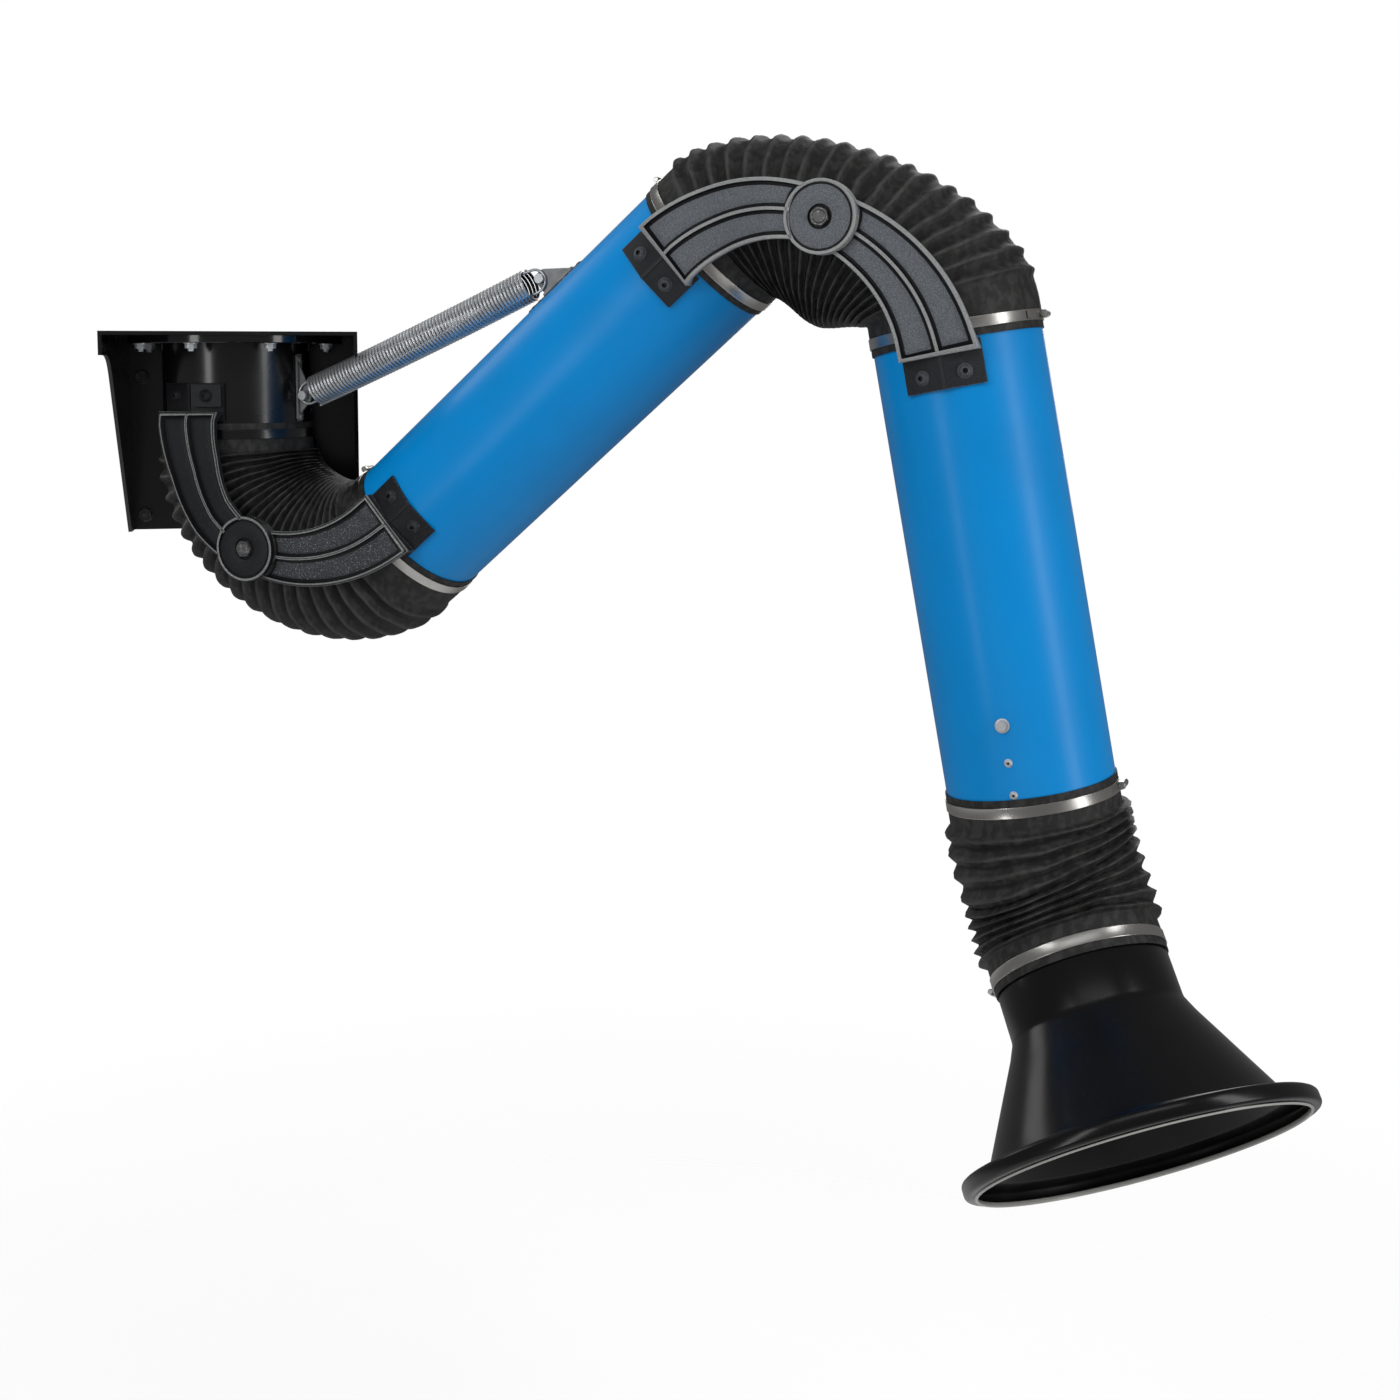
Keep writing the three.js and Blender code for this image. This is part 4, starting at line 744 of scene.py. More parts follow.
def casting_band(shape, place, side, hub_floor):
    """The rimmed band with two sunk panels, a centre rib and grooves beside the rims."""
    def half_width(share):
        return mix(94, 62, share) / 2

    def across_steps(half):
        """Places across one half, from the edge to the centre."""
        rib = [RIB_HALF + step for step in (*reversed(GROOVE_STEPS), 0, -0.7)]
        panel = half - RIM_STEPS[-1]
        between = [mix(panel, rib[0], k / 4) for k in (1, 2, 3)]
        return [half - step for step in RIM_STEPS] + between + rib + [0]

    columns = len(across_steps(40))
    rows = len(RIM_STEPS) + PANEL_ROWS + 4
    top, back, marks = [], [], []
    for row in range(rows):
        for column in range(2 * columns - 1):
            fold = column if column < columns else 2 * columns - 2 - column
            sign = 1 if column < columns else -1
            guess = across_steps(half_width(min(row / rows, 1)))[fold]
            end = BAND_LENGTH - math.sqrt(max(HUB_RADIUS ** 2 - guess ** 2, 1))
            ends = (end - 5, end - 3.4, end, end + 6)
            if row < len(RIM_STEPS):
                along = RIM_STEPS[row]
            elif row < len(RIM_STEPS) + PANEL_ROWS:
                along = mix(RIM_STEPS[-1], ends[0], (row - len(RIM_STEPS) + 1) / (PANEL_ROWS + 1))
            else:
                along = ends[row - len(RIM_STEPS) - PANEL_ROWS]
            share = along / BAND_LENGTH
            half = half_width(share)
            reach = across_steps(half)[fold]
            across = sign * reach
            inset = min(half - reach - RIM_WIDTH, reach - RIB_HALF, along - RIM_WIDTH)
            inset = min(inset, end - along + 1.5) if reach < half - RIM_WIDTH and reach > RIB_HALF else inset
            rise, mark = relief(inset)
            if row == 0 or fold == 0:
                rise = RIM_HEIGHT - 0.8
            floor = band_floor(share, hub_floor)
            drop = SADDLE_SLOPE * reach * max(1 - share / 0.07, 0)
            angle = along / BAND_RADIUS
            x = FOOT_REACH - BAND_RADIUS * math.sin(angle) + across * math.sin(angle)
            z = -PIVOT_OFFSET + BAND_RADIUS * (1 - math.cos(angle)) + across * math.cos(angle)
            top.append(place @ Vector((x, side * (floor + BAND_THICKNESS + rise), z)))
            back.append(place @ Vector((x, side * (floor - drop), z)))
            marks.append(mark)
    width = 2 * columns - 1
    count = rows * width
    faces = []
    for row in range(rows - 1):
        for column in range(width - 1):
            a = row * width + column
            quad = (a, a + 1, a + width + 1, a + width)
            faces.append(quad)
            faces.append([count + i for i in reversed(quad)])
    rim = [row * width for row in range(rows)] + [(rows - 1) * width + c for c in range(1, width)]
    rim += [row * width + width - 1 for row in range(rows - 2, -1, -1)] + list(range(width - 2, 0, -1))
    for i, a in enumerate(rim):
        b = rim[(i + 1) % len(rim)]
        faces.append((a, b, count + b, count + a))
    shape.add(top + back, faces, marks + [-0.2] * count)


def casting_saddle(shape, place, side, boss):
    """Two flat facets on the duct with a crest rib and two round-headed bolts; one may stand on a boss."""
    half = 47
    edge = SADDLE_CREST - half * SADDLE_SLOPE
    lift = SADDLE_THICKNESS
    outline = [
        (-half, edge), (0, SADDLE_CREST), (half, edge), (half, edge + lift), (half - 1, edge + lift + 0.8),
        (2.5, SADDLE_CREST + lift), (2, SADDLE_CREST + lift + 1.4), (-2, SADDLE_CREST + lift + 1.4),
        (-2.5, SADDLE_CREST + lift), (1 - half, edge + lift + 0.8), (-half, edge + lift),
    ]
    rings = []
    for x, inset in ((168, 0), (219, 0), (220, 0.8)):
        ring = []
        for across, depth in outline:
            drop = inset if depth > SADDLE_CREST - abs(across) * SADDLE_SLOPE + 0.5 else 0
            ring.append(place @ Vector((x, side * (depth - drop), across - PIVOT_OFFSET)))
        rings.append(ring)
    shape.skin(rings, False, [-0.6, -0.6, -0.45])
    tilt = math.radians(14.5)
    for across in (-25, 25):
        depth = SADDLE_CREST + lift - abs(across) * SADDLE_SLOPE
        out = Vector((0, side * math.cos(tilt), math.copysign(math.sin(tilt), across)))
        head = place @ facing((203, side * depth, across - PIVOT_OFFSET), out)
        if boss == across:
            corners = [(-15, -20), (-14, -21), (14, -21), (15, -20), (15, 20), (14, 21), (-14, 21), (-15, 20)]
            shape.plate(head, [corners], -1, 6)
            head = head @ Matrix.Translation((0, 0, 6))
        shape.button(head, 7.6, 6, -0.48)


def casting_hub(shape, place, side, hub_floor, outer):
    """The hub disc: a raised ring, a thin groove, a plateau and on the outer casting a nut well."""
    top = hub_floor + HUB_THICKNESS
    # Marks of 1.6 paint a highlight on the ring's top edge; -1 paints shade in the groove and the nut well.
    if outer:
        dish = top - 1.3
        profile = [
            (8.6, hub_floor, 0), (42.9, hub_floor, 0), (43.5, hub_floor + 0.6, 1), (43.5, top - 0.8, 1),
            (42.7, top, 1.6), (40.4, top, 1.6), (39.7, top - 0.5, 1), (39.5, dish - 1, -1), (37, dish - 1, -1),
            (36.7, dish - 0.2, 0), (36.2, dish, 0), (26, dish + 0.1, 0), (15.6, dish, 0), (14.8, dish - 0.4, -0.3),
            (14, dish - 1, -1), (14, dish - 3, -1), (8.6, dish - 3, -1),
        ]
    else:
        profile = [
            (8.6, hub_floor, 0), (42.9, hub_floor, 0), (43.5, hub_floor + 0.6, 1), (43.5, top - 0.6, 1),
            (42.9, top, 0), (8.6, top, 0),
        ]
    turn = place @ facing((0, 0, 0), (0, side, 0))
    shape.turned(turn, [(r, h) for r, h, _ in profile], 96, True, [m for _, _, m in profile])


# The shoulder castings take darker copies of the casting paint, as painted shade.
CASTINGS = (
    ("collar_casting", "swivel", (PIVOT_OFFSET, 0, -SHOULDER_DROP),
     ((0, 0, 1), (0, -1, 0), (1, 0, 0)), 131, "casting_shaded"),
    ("inner_lower_casting", "inner_arm", (0, 0, 0),
     ((1, 0, 0), (0, 1, 0), (0, 0, 1)), 121, "casting_shaded_sparkle"),
    ("inner_upper_casting", "inner_arm", (ELBOW_ALONG, 0, -2 * PIVOT_OFFSET),
     ((-1, 0, 0), (0, 1, 0), (0, 0, -1)), 131, "casting_grey"),
    ("outer_casting", "outer_arm", (0, 0, 0),
     ((1, 0, 0), (0, -1, 0), (0, 0, -1)), 121, "casting_grey"),
)


class ARM_OT_castings(bpy.types.Operator):
    """Builds the elbow castings with their saddles, sunk panels and hubs"""

    bl_idname = "arm.castings"
    bl_label = "Elbow Castings"

    def execute(self, context):
        for stem, body, origin, axes, hub_floor, paint in CASTINGS:
            place = PLACES[body] @ basis(origin, *axes)
            for name in sides_of(stem):
                toward = -1 if name.endswith("front") else 1
                side = toward * axes[1][1]
                shape = Shape()
                casting_band(shape, place, side, hub_floor)
                casting_saddle(shape, place, side, 25 if stem == "collar_casting" else None)
                casting_hub(shape, place, side, hub_floor, hub_floor > 125)
                piece(name + "_cast", shape, finish_for(paint), body, [name], 0.0, 38)
        return {"FINISHED"}


class ARM_OT_pivots(bpy.types.Operator):
    """Builds the pivot bolts and nuts and dresses the friction discs"""

    bl_idname = "arm.pivots"
    bl_label = "Friction Pivots"

    def execute(self, context):
        spots = {"shoulder": ("swivel", (PIVOT_OFFSET, 0, -SHOULDER_DROP)),
                 "elbow": ("inner_arm", (ELBOW_ALONG, 0, -2 * PIVOT_OFFSET))}
        for joint, (body, origin) in spots.items():
            dress(sides_of(f"{joint}_friction_disc"), finish_for("friction_lining"))
            for side, toward in (("front", -1), ("rear", 1)):
                place = PLACES[body] @ facing(origin, (0, toward, 0))
                nut = Shape()
                nut.hexagon(place @ Matrix.Translation((0, 0, 134.8)), 11.5, 6, 8.3)
                name = f"{joint}_nut_{side}"
                piece(name + "_hex", nut, finish_for("pivot_steel"), body, [name])
                bolt = Shape()
                thread = [(8 if k % 2 else 7.4, 136 + k * 0.6) for k in range(11)]
                bolt.turned(place, [
                    (11, 116.7), (12, 117.5), (12, 120.7), (8, 120.7), (8, 135.4), *thread, (6.4, 142.8),
                ], 36, False)
                name = f"{joint}_bolt_{side}"
                piece(name + "_turned", bolt, finish_for("pivot_steel"), body, [name])
        return {"FINISHED"}


class ARM_OT_tubes(bpy.types.Operator):
    """Paints both duct tubes and adds the fasteners that hold the hood straps"""

    bl_idname = "arm.tubes"
    bl_label = "Duct Tubes"

    def execute(self, context):
        dress(["inner_tube", "outer_tube"], finish_for("duct_blue"))
        for toward, side in ((-1, "front"), (1, "rear")):
            shape = Shape()
            for along in (613, 657, 695):
                spot = facing((along, toward * (DUCT_RADIUS - 0.1), PIVOT_OFFSET), (0, toward, 0))
                place = PLACES["outer_arm"] @ spot
                if along == 613:
                    shape.turned(place, [(8.6, 0), (8.6, 1.2), (7.8, 1.8), (6.6, 1.9)], 36, False)
                    shape.hexagon(place @ Matrix.Translation((0, 0, 1.8)), 6.2, 4.2)
                else:
                    shape.button(place, 4.2, 2.4)
            piece(f"tube_strap_rivets_{side}", shape, finish_for("anchor_zinc"), "outer_arm")
        return {"FINISHED"}


CASTING_CLEAR = 110.8 * MM


class Bend:
    """Centre line of a hose: a cubic between two duct mouths with straight cuffs, measured by length."""

    STEPS = 400

    def __init__(self, start, start_way, end, end_way, sweep, seam_way=None):
        self.start, self.end = start, end
        self.start_way, self.end_way = start_way, end_way
        knots = [start, start + start_way * sweep, end - end_way * sweep, end]
        self.points = [self.cubic(knots, k / self.STEPS) for k in range(self.STEPS + 1)]
        self.lengths = [0.0]
        for before, after in zip(self.points, self.points[1:]):
            self.lengths.append(self.lengths[-1] + (after - before).length)
        self.length = self.lengths[-1]
        self.seam_way, self.seam = seam_way, None

    @staticmethod
    def cubic(knots, t):
        u = 1 - t
        return (knots[0] * u ** 3 + knots[1] * (3 * u * u * t) + knots[2] * (3 * u * t * t) + knots[3] * t ** 3)

    def at(self, along):
        """The point and direction at a length along; the cuffs run on beyond both ends."""
        if along <= 0:
            return self.start + self.start_way * along, self.start_way
        if along >= self.length:
            return self.end + self.end_way * (along - self.length), self.end_way
        k = next(i for i in range(1, self.STEPS + 1) if self.lengths[i] >= along)
        share = (along - self.lengths[k - 1]) / (self.lengths[k] - self.lengths[k - 1])
        point = self.points[k - 1].lerp(self.points[k], share)
        if self.seam_way:
            if along < self.seam:
                way = self.start_way.lerp(self.seam_way, along / self.seam)
            else:
                share = (along - self.seam) / (self.length - self.seam)
                way = self.seam_way.lerp(self.end_way, share)
        else:
            turn = self.start_way.rotation_difference(self.end_way)
            way = Quaternion().slerp(turn, along / self.length) @ self.start_way
        return point, way.normalized()


def hose_shape(bend, first, last, across, ribs, plains, crest, tautness, sides=96, per_rib=10):
    """A cloth hose over wire rings between two lengths along its bend, with smooth cuffs past the mouths.

    Tautness is how far the cloth is drawn flat on the outside of the bend; slack cloth has pointed folds."""
    pointed = not tautness
    valley = arm_sizes().hose_valley
    cuff, bore, cloth = 103.5 * MM, 101.7 * MM, 1.7 * MM
    plain, end_plain = plains
    pitch = (bend.length - plain - end_plain) / ribs
    outer = (bend.start_way - bend.end_way).normalized()
    stops = [first]
    step = pitch / per_rib
    while stops[-1] + step < last - step / 2:
        stops.append(stops[-1] + (step if -step < stops[-1] < bend.length else 3.5 * MM))
    stops.append(last)
    outside, inside, marks = [], [], []
    for along in stops:
        point, way = bend.at(along)
        side = (across - way * across.dot(way)).normalized()
        rise = way.cross(side)
        grown = smooth(along / plain - 0.3) * smooth((bend.length - along) / end_plain - 0.3)
        phase = (along - plain) / pitch
        ring, hollow = [], []
        for k in range(sides):
            angle = 2 * math.pi * k / sides
            out = side * math.cos(angle) + rise * math.sin(angle)
            here = (point + out * crest) * 42
            fold = noise.noise(here) + 0.5 * noise.noise(here * 2.7)
            sway = 0.16 * noise.noise(here * 0.6 + Vector((7, 3, 5)))
            apart = 2 * abs((phase + sway) % 1 - 0.5)
            taut = tautness * (0.5 + 0.5 * out.dot(outer))
            wave = apart ** 1.25 if pointed else (0.5 - 0.5 * math.cos(math.pi * apart)) ** mix(1.6, 2.6, taut)
            crinkle = mix(1.6, 0.4, wave) * (1 - 2.4 * abs(fold) if pointed else fold)
            rib = mix(mix(valley, crest, 0.3 * taut), crest, wave) + crinkle * MM
            radius = mix(cuff + fold * 0.3 * MM, rib, grown)
            radius = min(radius, CASTING_CLEAR / max(abs(math.cos(angle)), 0.5))
            ring.append(point + out * radius)
            hollow.append(point + out * max(radius - cloth, bore))
            # The mark follows the rib's wave, for the fabric's painted shade in the valleys and painted highlight on
            # the crests.
            marks.append(mix(0.3, max(wave, 0.2 * taut), grown))
        outside.append(ring)
        inside.append(hollow)
    shape = Shape()
    shape.skin(outside + inside[::-1], True)
    count = len(marks)
    shape.marks = marks + [0.1] * count
    return shape


def spread(body, x, y, z):
    """A point of a body's own frame, in the row's frame."""
    return PLACES[body] @ Vector((x, y, z))


def way_of(body, x, y, z):
    """A direction of a body's own frame."""
    return (PLACES[body].to_3x3() @ Vector((x, y, z))).normalized()


class ARM_OT_hoses(bpy.types.Operator):
    """Builds the three cloth hoses along their bends at rest"""

    bl_idname = "arm.hoses"
    bl_label = "Hoses"

    def execute(self, context):
        across = way_of("swivel", 0, 1, 0)
        cloth = finish_for("hose_fabric")
        sizes = arm_sizes()
        shoulder = Bend(spread("swivel", 0, 0, COLLAR_END), way_of("swivel", 0, 0, -1),
                        spread("inner_arm", PIVOT_TO_DUCT, 0, -PIVOT_OFFSET), way_of("inner_arm", 1, 0, 0),
                        122 * MM)
        elbow = Bend(spread("inner_arm", INNER_TUBE_END, 0, -PIVOT_OFFSET), way_of("inner_arm", 1, 0, 0),
                     spread("outer_arm", PIVOT_TO_DUCT, 0, PIVOT_OFFSET), way_of("outer_arm", 1, 0, 0),
                     66 * MM)
        pairs = (("shoulder_hose", shoulder, "swivel", "inner_arm", 0.3),
                 ("elbow_hose", elbow, "inner_arm", "outer_arm", 1.0))
        for name, bend, first, second, tautness in pairs:
            shape = hose_shape(bend, -CUFF_OVERLAP * MM, bend.length + CUFF_OVERLAP * MM, across,
                               sizes.elbow_ribs, (11 * MM, 22 * MM), sizes.hose_crest, tautness)
            made = piece(name + "_cloth", shape, cloth, None, [name], 0.0, 80)
            chord = bend.end - bend.start
            bend.start + chord * 0.32
            bend.start + chord * 0.68
            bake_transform(made)
        self.hood_hose(cloth, across, sizes.hood_ribs, sizes.hood_crest)
        return {"FINISHED"}

    def hood_hose(self, cloth, across, ribs, crest):
        gimbal = spread("gimbal", 0, 0, 0)
        gimbal_way = way_of("gimbal", 1, 0, 0)
        tube_end, tube_way = spread("outer_arm", OUTER_TUBE_END, 0, PIVOT_OFFSET), way_of("outer_arm", 1, 0, 0)
        hood_end, hood_way = spread("hood", GIMBAL_TO_HOOD, 0, 0), way_of("hood", 1, 0, 0)
        bend = Bend(tube_end, tube_way, hood_end, hood_way, 42 * MM, gimbal_way)
        seam = gimbal + gimbal_way * 12 * MM
        gaps = [abs((point - seam).dot(gimbal_way)) for point in bend.points]
        bend.seam = bend.lengths[gaps.index(min(gaps))]
        plains = (9 * MM, 9 * MM)
        upper = hose_shape(bend, -CUFF_OVERLAP * MM, bend.seam, across, ribs, plains, crest, 0)
        lower = hose_shape(bend, bend.seam, bend.length + CUFF_OVERLAP * MM, across, ribs, plains, crest, 0)
        made = piece("hood_hose_upper_cloth", upper, cloth, None, ["hood_hose"], 0.0, 80)
        self.between(tube_end, tube_way, seam, gimbal_way)
        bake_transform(made)
        made = piece("hood_hose_lower_cloth", lower, cloth, None, (), 0.0, 80)
        self.between(seam, gimbal_way, hood_end, hood_way)
        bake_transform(made)

    @staticmethod
    def between(first, first_way, last, last_way):
        """The two points of a blend that keeps the rings at both ends of a hose whole."""
        reach = (DUCT_RADIUS + 6) * MM
        way = (first_way + last_way).normalized()
        start = first + way * reach * math.sqrt(1 - way.dot(first_way) ** 2)
        end = last - way * reach * math.sqrt(1 - way.dot(last_way) ** 2)
        return start, start + way * (end - start).dot(way)


CLAMPS = (
    ("collar_clamp", "swivel", (0, 0, COLLAR_END + CLAMP_FROM_END), (0, 0, 1), (-1, 0, 0)),
    ("inner_lower_clamp", "inner_arm", (PIVOT_TO_DUCT + CLAMP_FROM_END, 0, -PIVOT_OFFSET), (1, 0, 0), (0, 0, 1)),
    ("inner_upper_clamp", "inner_arm", (INNER_TUBE_END - CLAMP_FROM_END, 0, -PIVOT_OFFSET), (-1, 0, 0), (0, 0, 1)),
    ("outer_upper_clamp", "outer_arm", (PIVOT_TO_DUCT + CLAMP_FROM_END, 0, PIVOT_OFFSET), (1, 0, 0), (0, 0, 1)),
    ("outer_lower_clamp", "outer_arm", (OUTER_TUBE_END - CLAMP_FROM_END, 0, PIVOT_OFFSET), (-1, 0, 0), (0, 0, 1)),
    ("hood_clamp", "hood", (GIMBAL_TO_HOOD + CLAMP_FROM_END, 0, 0), (1, 0, 0), (0, 0, -1)),
)


class ARM_OT_clamps(bpy.types.Operator):
    """Builds the band clamps with their worm screws"""

    bl_idname = "arm.clamps"
    bl_label = "Band Clamps"

    def execute(self, context):
        for name, body, origin, way, screw_way in CLAMPS:
            way, toward = Vector(way), Vector(screw_way)
            place = PLACES[body] @ basis(origin, toward, way.cross(toward), way)
            shape = Shape()
            self.band(shape, place)
            self.screw(shape, place)
            painted = name == "collar_clamp"
            finish = finish_for("black_enamel" if painted else "band_steel")
            piece(name + "_band", shape, finish, body, [name], 0.0, 40)
        return {"FINISHED"}

    def band(self, shape, place):
        """The strip with its rolled edges, and its loose tail past the housing."""
        shape.turned(place, [
            (103.7, -6.3), (104.3, -6.5), (104.8, -6.4), (105, -6), (104.9, -5.5), (104.8, -5),
            (104.8, 5), (104.9, 5.5), (105, 6), (104.8, 6.4), (104.3, 6.5), (103.7, 6.3),
        ], 128)
        rings = []
        for k in range(17):
            angle = math.radians(3 + 1.4 * k)
            low = 104.7 + (0.8 if k > 12 else 0)
            rings.append([place @ Vector((r * math.cos(angle), r * math.sin(angle), z))
                          for r, z in ((low, -4.4), (low + 0.8, -4.4), (low + 0.8, 4.4), (low, 4.4))])
        shape.skin(rings)
        for k in range(9):
            angle = math.radians(-5 - 1.5 * k)
            ring = basis((104.5 * math.cos(angle), 104.5 * math.sin(angle), 0),
                         (math.cos(angle), math.sin(angle), 0), (-math.sin(angle), math.cos(angle), 0), (0, 0, 1))
            shape.plate(place @ ring, [[(0, -0.5), (0.7, -0.35), (0.7, 0.35), (0, 0.5)]], -3.4, 3.4)

    def screw(self, shape, place):
        """The worm housing, the screw through it and its slotted hex head."""
        top = [(104.4 + 4.6 + 4.4 * math.cos(a), 4.5 * math.sin(a))
               for a in [math.radians(d) for d in range(-90, 91, 15)]]
        outline = [(104.4, -5.2), *top, (104.4, 5.2)]
        along = place @ basis((0, 0, 0), (1, 0, 0), (0, 0, -1), (0, 1, 0))
        shape.plate(along, [outline], -7.5, 7.5)
        turn = place @ facing((109.4, 0, 0), (0, 1, 0))
        thread = [(3.4 if k % 2 else 2.7, -15 + 0.9 * k) for k in range(9)]
        shape.turned(turn, [*thread, (3, -7.4), (3, 8), (4.6, 8), (4.6, 9)], 24, False)
        shape.hexagon(turn @ Matrix.Translation((0, 0, 9)), 4.6, 5.5)


class ARM_OT_spring(bpy.types.Operator):
    """Winds the balance spring between its two bolts"""

    bl_idname = "arm.spring"
    bl_label = "Balance Spring"

    def execute(self, context):
        sizes = arm_sizes()
        start = PLACES["swivel"] @ LOWER_EYE
        end = PLACES["inner_arm"] @ UPPER_EYE
        along = (end - start).normalized()
        rear = way_of("swivel", 0, 1, 0)
        place = basis(start, along, rear, along.cross(rear)) @ Matrix.Scale(MM, 4)
        length = (end - start).length / MM
        wire = sizes.spring_wire / MM
        coil = (sizes.spring_outside / MM - wire) / 2
        first, last = 17.5, length - 17.5
        turns = sizes.spring_coils + 0.5
        steps = int(turns * 22)
        winding, middles = [], []
        for i in range(steps + 1):
            angle = 2 * math.pi * turns * i / steps
            sag = 1 + 8 * (i / steps) * (1 - i / steps)
            x = mix(first, last, i / steps)
            winding.append(Vector((x, coil * math.sin(angle), -coil * math.cos(angle) - sag)))
            middles.append(Vector((x, 0, -sag)))
        hook = self.hook(first)
        shape = Shape()
        shape.wire([place @ p for p in winding], sizes.spring_wire / 2, 10)
        # Marks below zero on the wire's inner side and towards the next coils, where the zinc finish paints shade.
        for i, point in enumerate(shape.points):
            out = (point - place @ middles[i // 10]).length / MM - coil
            shape.marks[i] = out / (wire / 2) - 0.35
        shape.wire([place @ p for p in hook], 1.8 * MM, 10)
        shape.wire([place @ Vector((length - p.x, p.y, p.z)) for p in hook], 1.8 * MM, 10)
        made = piece("balance_spring_wound", shape, finish_for("spring_zinc"), None,
                     ["balance_spring"], 0.0, 70)
        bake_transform(made)
        return {"FINISHED"}

    def hook(self, first):
        """The thin end loop: out of the coil, round behind the bolt and back into the coil."""
        reach, plane, turn = 6.2, -3.8, 15.0
        round_bolt = [math.radians(mix(90, 270, k / 20)) for k in range(21)]
        bend = [Vector((turn - reach + turn * math.cos(a), plane, turn * math.sin(a))) for a in round_bolt]
        inside = [Vector((first + 9, plane, turn * 1.1)), Vector((first + 3, plane, turn * 1.04))]
        back = [Vector((p.x, p.y, -p.z)) for p in reversed(inside)]
        return inside + bend + back


class ARM_OT_anchors(bpy.types.Operator):
    """Builds both spring anchors, their bolts and the strip under the upper one"""

    bl_idname = "arm.anchors"
    bl_label = "Spring Anchors"

    def execute(self, context):
        self.lower()
        self.upper()
        for name, body, eye in (("spring_lower_bolt", "swivel", LOWER_EYE), ("spring_upper_bolt", "inner_arm", UPPER_EYE)):
            shape = Shape()
            front = PLACES[body] @ facing((eye.x, 0, eye.z), (0, -1, 0))
            rear = PLACES[body] @ facing((eye.x, 0, eye.z), (0, 1, 0))
            shape.turned(front, [(4, -2), (4, 6.2)], 24, False)
            shape.hexagon(front @ Matrix.Translation((0, 0, 6.0)), 7, 4)
            shape.hexagon(rear @ Matrix.Translation((0, 0, 1.8)), 7, 4)
            piece(name + "_hex", shape, finish_for("anchor_zinc"), body, [name])
        return {"FINISHED"}

    @staticmethod
    def round_hole(x, y, radius, stretch=0.0, count=20):
        """A round or drawn-out hole, listed the other way round from an outline."""
        hole = []
        for k in range(count):
            angle = -2 * math.pi * (k + 0.5) / count
            shift = math.copysign(stretch, math.sin(angle))
            hole.append((x + radius * math.cos(angle), y + shift + radius * math.sin(angle)))
        return hole

    def lower(self):
        place = PLACES["swivel"]
        seat = 101.8
        upright = place @ basis((0, 0, 0), (1, 0, 0), (0, 0, 1), (0, -1, 0))
        ear = [
            (seat + 1.5, LOWER_EYE.z - 27), (LOWER_EYE.x + 7, LOWER_EYE.z - 9), (LOWER_EYE.x + 9, LOWER_EYE.z - 6),
            (LOWER_EYE.x + 9, LOWER_EYE.z + 6), (LOWER_EYE.x + 7, LOWER_EYE.z + 9), (seat + 1.5, LOWER_EYE.z + 45),
        ]
        shape = Shape()
        shape.plate(upright, [ear, self.round_hole(LOWER_EYE.x, LOWER_EYE.z, 4.3)], -1.5, 1.5)
        flat = place @ basis((seat, 0, 0), (0, 1, 0), (0, 0, 1), (1, 0, 0))
        strip = [(-6, 25), (-4, 22.6), (4, 22.6), (6, 25), (6, 113), (4, 115.6), (-4, 115.6), (-6, 113)]
        shape.plate(flat, [strip, self.round_hole(0, 38, 2.8, 4)], 0, 3)
        for height in (27.5, 108):
            spot = facing((seat + 3, 0, height), (1, 0, 0))
            shape.button(place @ spot, 4.4, 3.2)
        piece("spring_lower_anchor_plate", shape, finish_for("anchor_dull"), "swivel",
              ["spring_lower_anchor"], 0.4)

    def upper(self):
        place = PLACES["inner_arm"]
        seat = -2.7
        strip = Shape()
        flat = place @ Matrix.Translation((0, 0, seat))
        ends = [(478, -9), (481, -12), (576, -12), (579, -9), (579, 9), (576, 12), (481, 12), (478, 9)]
        strip.plate(flat, [ends], 0, 3)
        for along in (486, 498, 571):
            strip.button(place @ Matrix.Translation((along, 0, seat + 3)), 5.4, 4)
        piece("spring_anchor_strip_bolted", strip, finish_for("bolt_black"), "inner_arm",
              ["spring_anchor_strip"], 0.5)
        shape = Shape()
        foot = seat + 3.3
        base = [(509.6, -10), (511.6, -12), (562.6, -12), (564.6, -10), (564.6, 10), (562.6, 12), (511.6, 12), (509.6, 10)]
        shape.plate(place @ Matrix.Translation((0, 0, foot)), [base], 0, 3)
        upright = place @ basis((0, 0, 0), (1, 0, 0), (0, 0, 1), (0, -1, 0))
        ear = [
            (509.6, foot + 1.5), (564.6, foot + 1.5), (530, UPPER_EYE.z + 7), (526, UPPER_EYE.z + 9),
            (512, UPPER_EYE.z + 9), (509.6, UPPER_EYE.z + 6),
        ]
        shape.plate(upright, [ear, self.round_hole(UPPER_EYE.x, UPPER_EYE.z, 4.3)], -1.5, 1.5)
        shape.button(place @ Matrix.Translation((553, -7, foot + 3)), 4, 3)
        shape.button(place @ Matrix.Translation((553, 7, foot + 3)), 4, 3)
        piece("spring_upper_anchor_plate", shape, finish_for("anchor_dull"), "inner_arm",
              ["spring_upper_anchor"], 0.4)


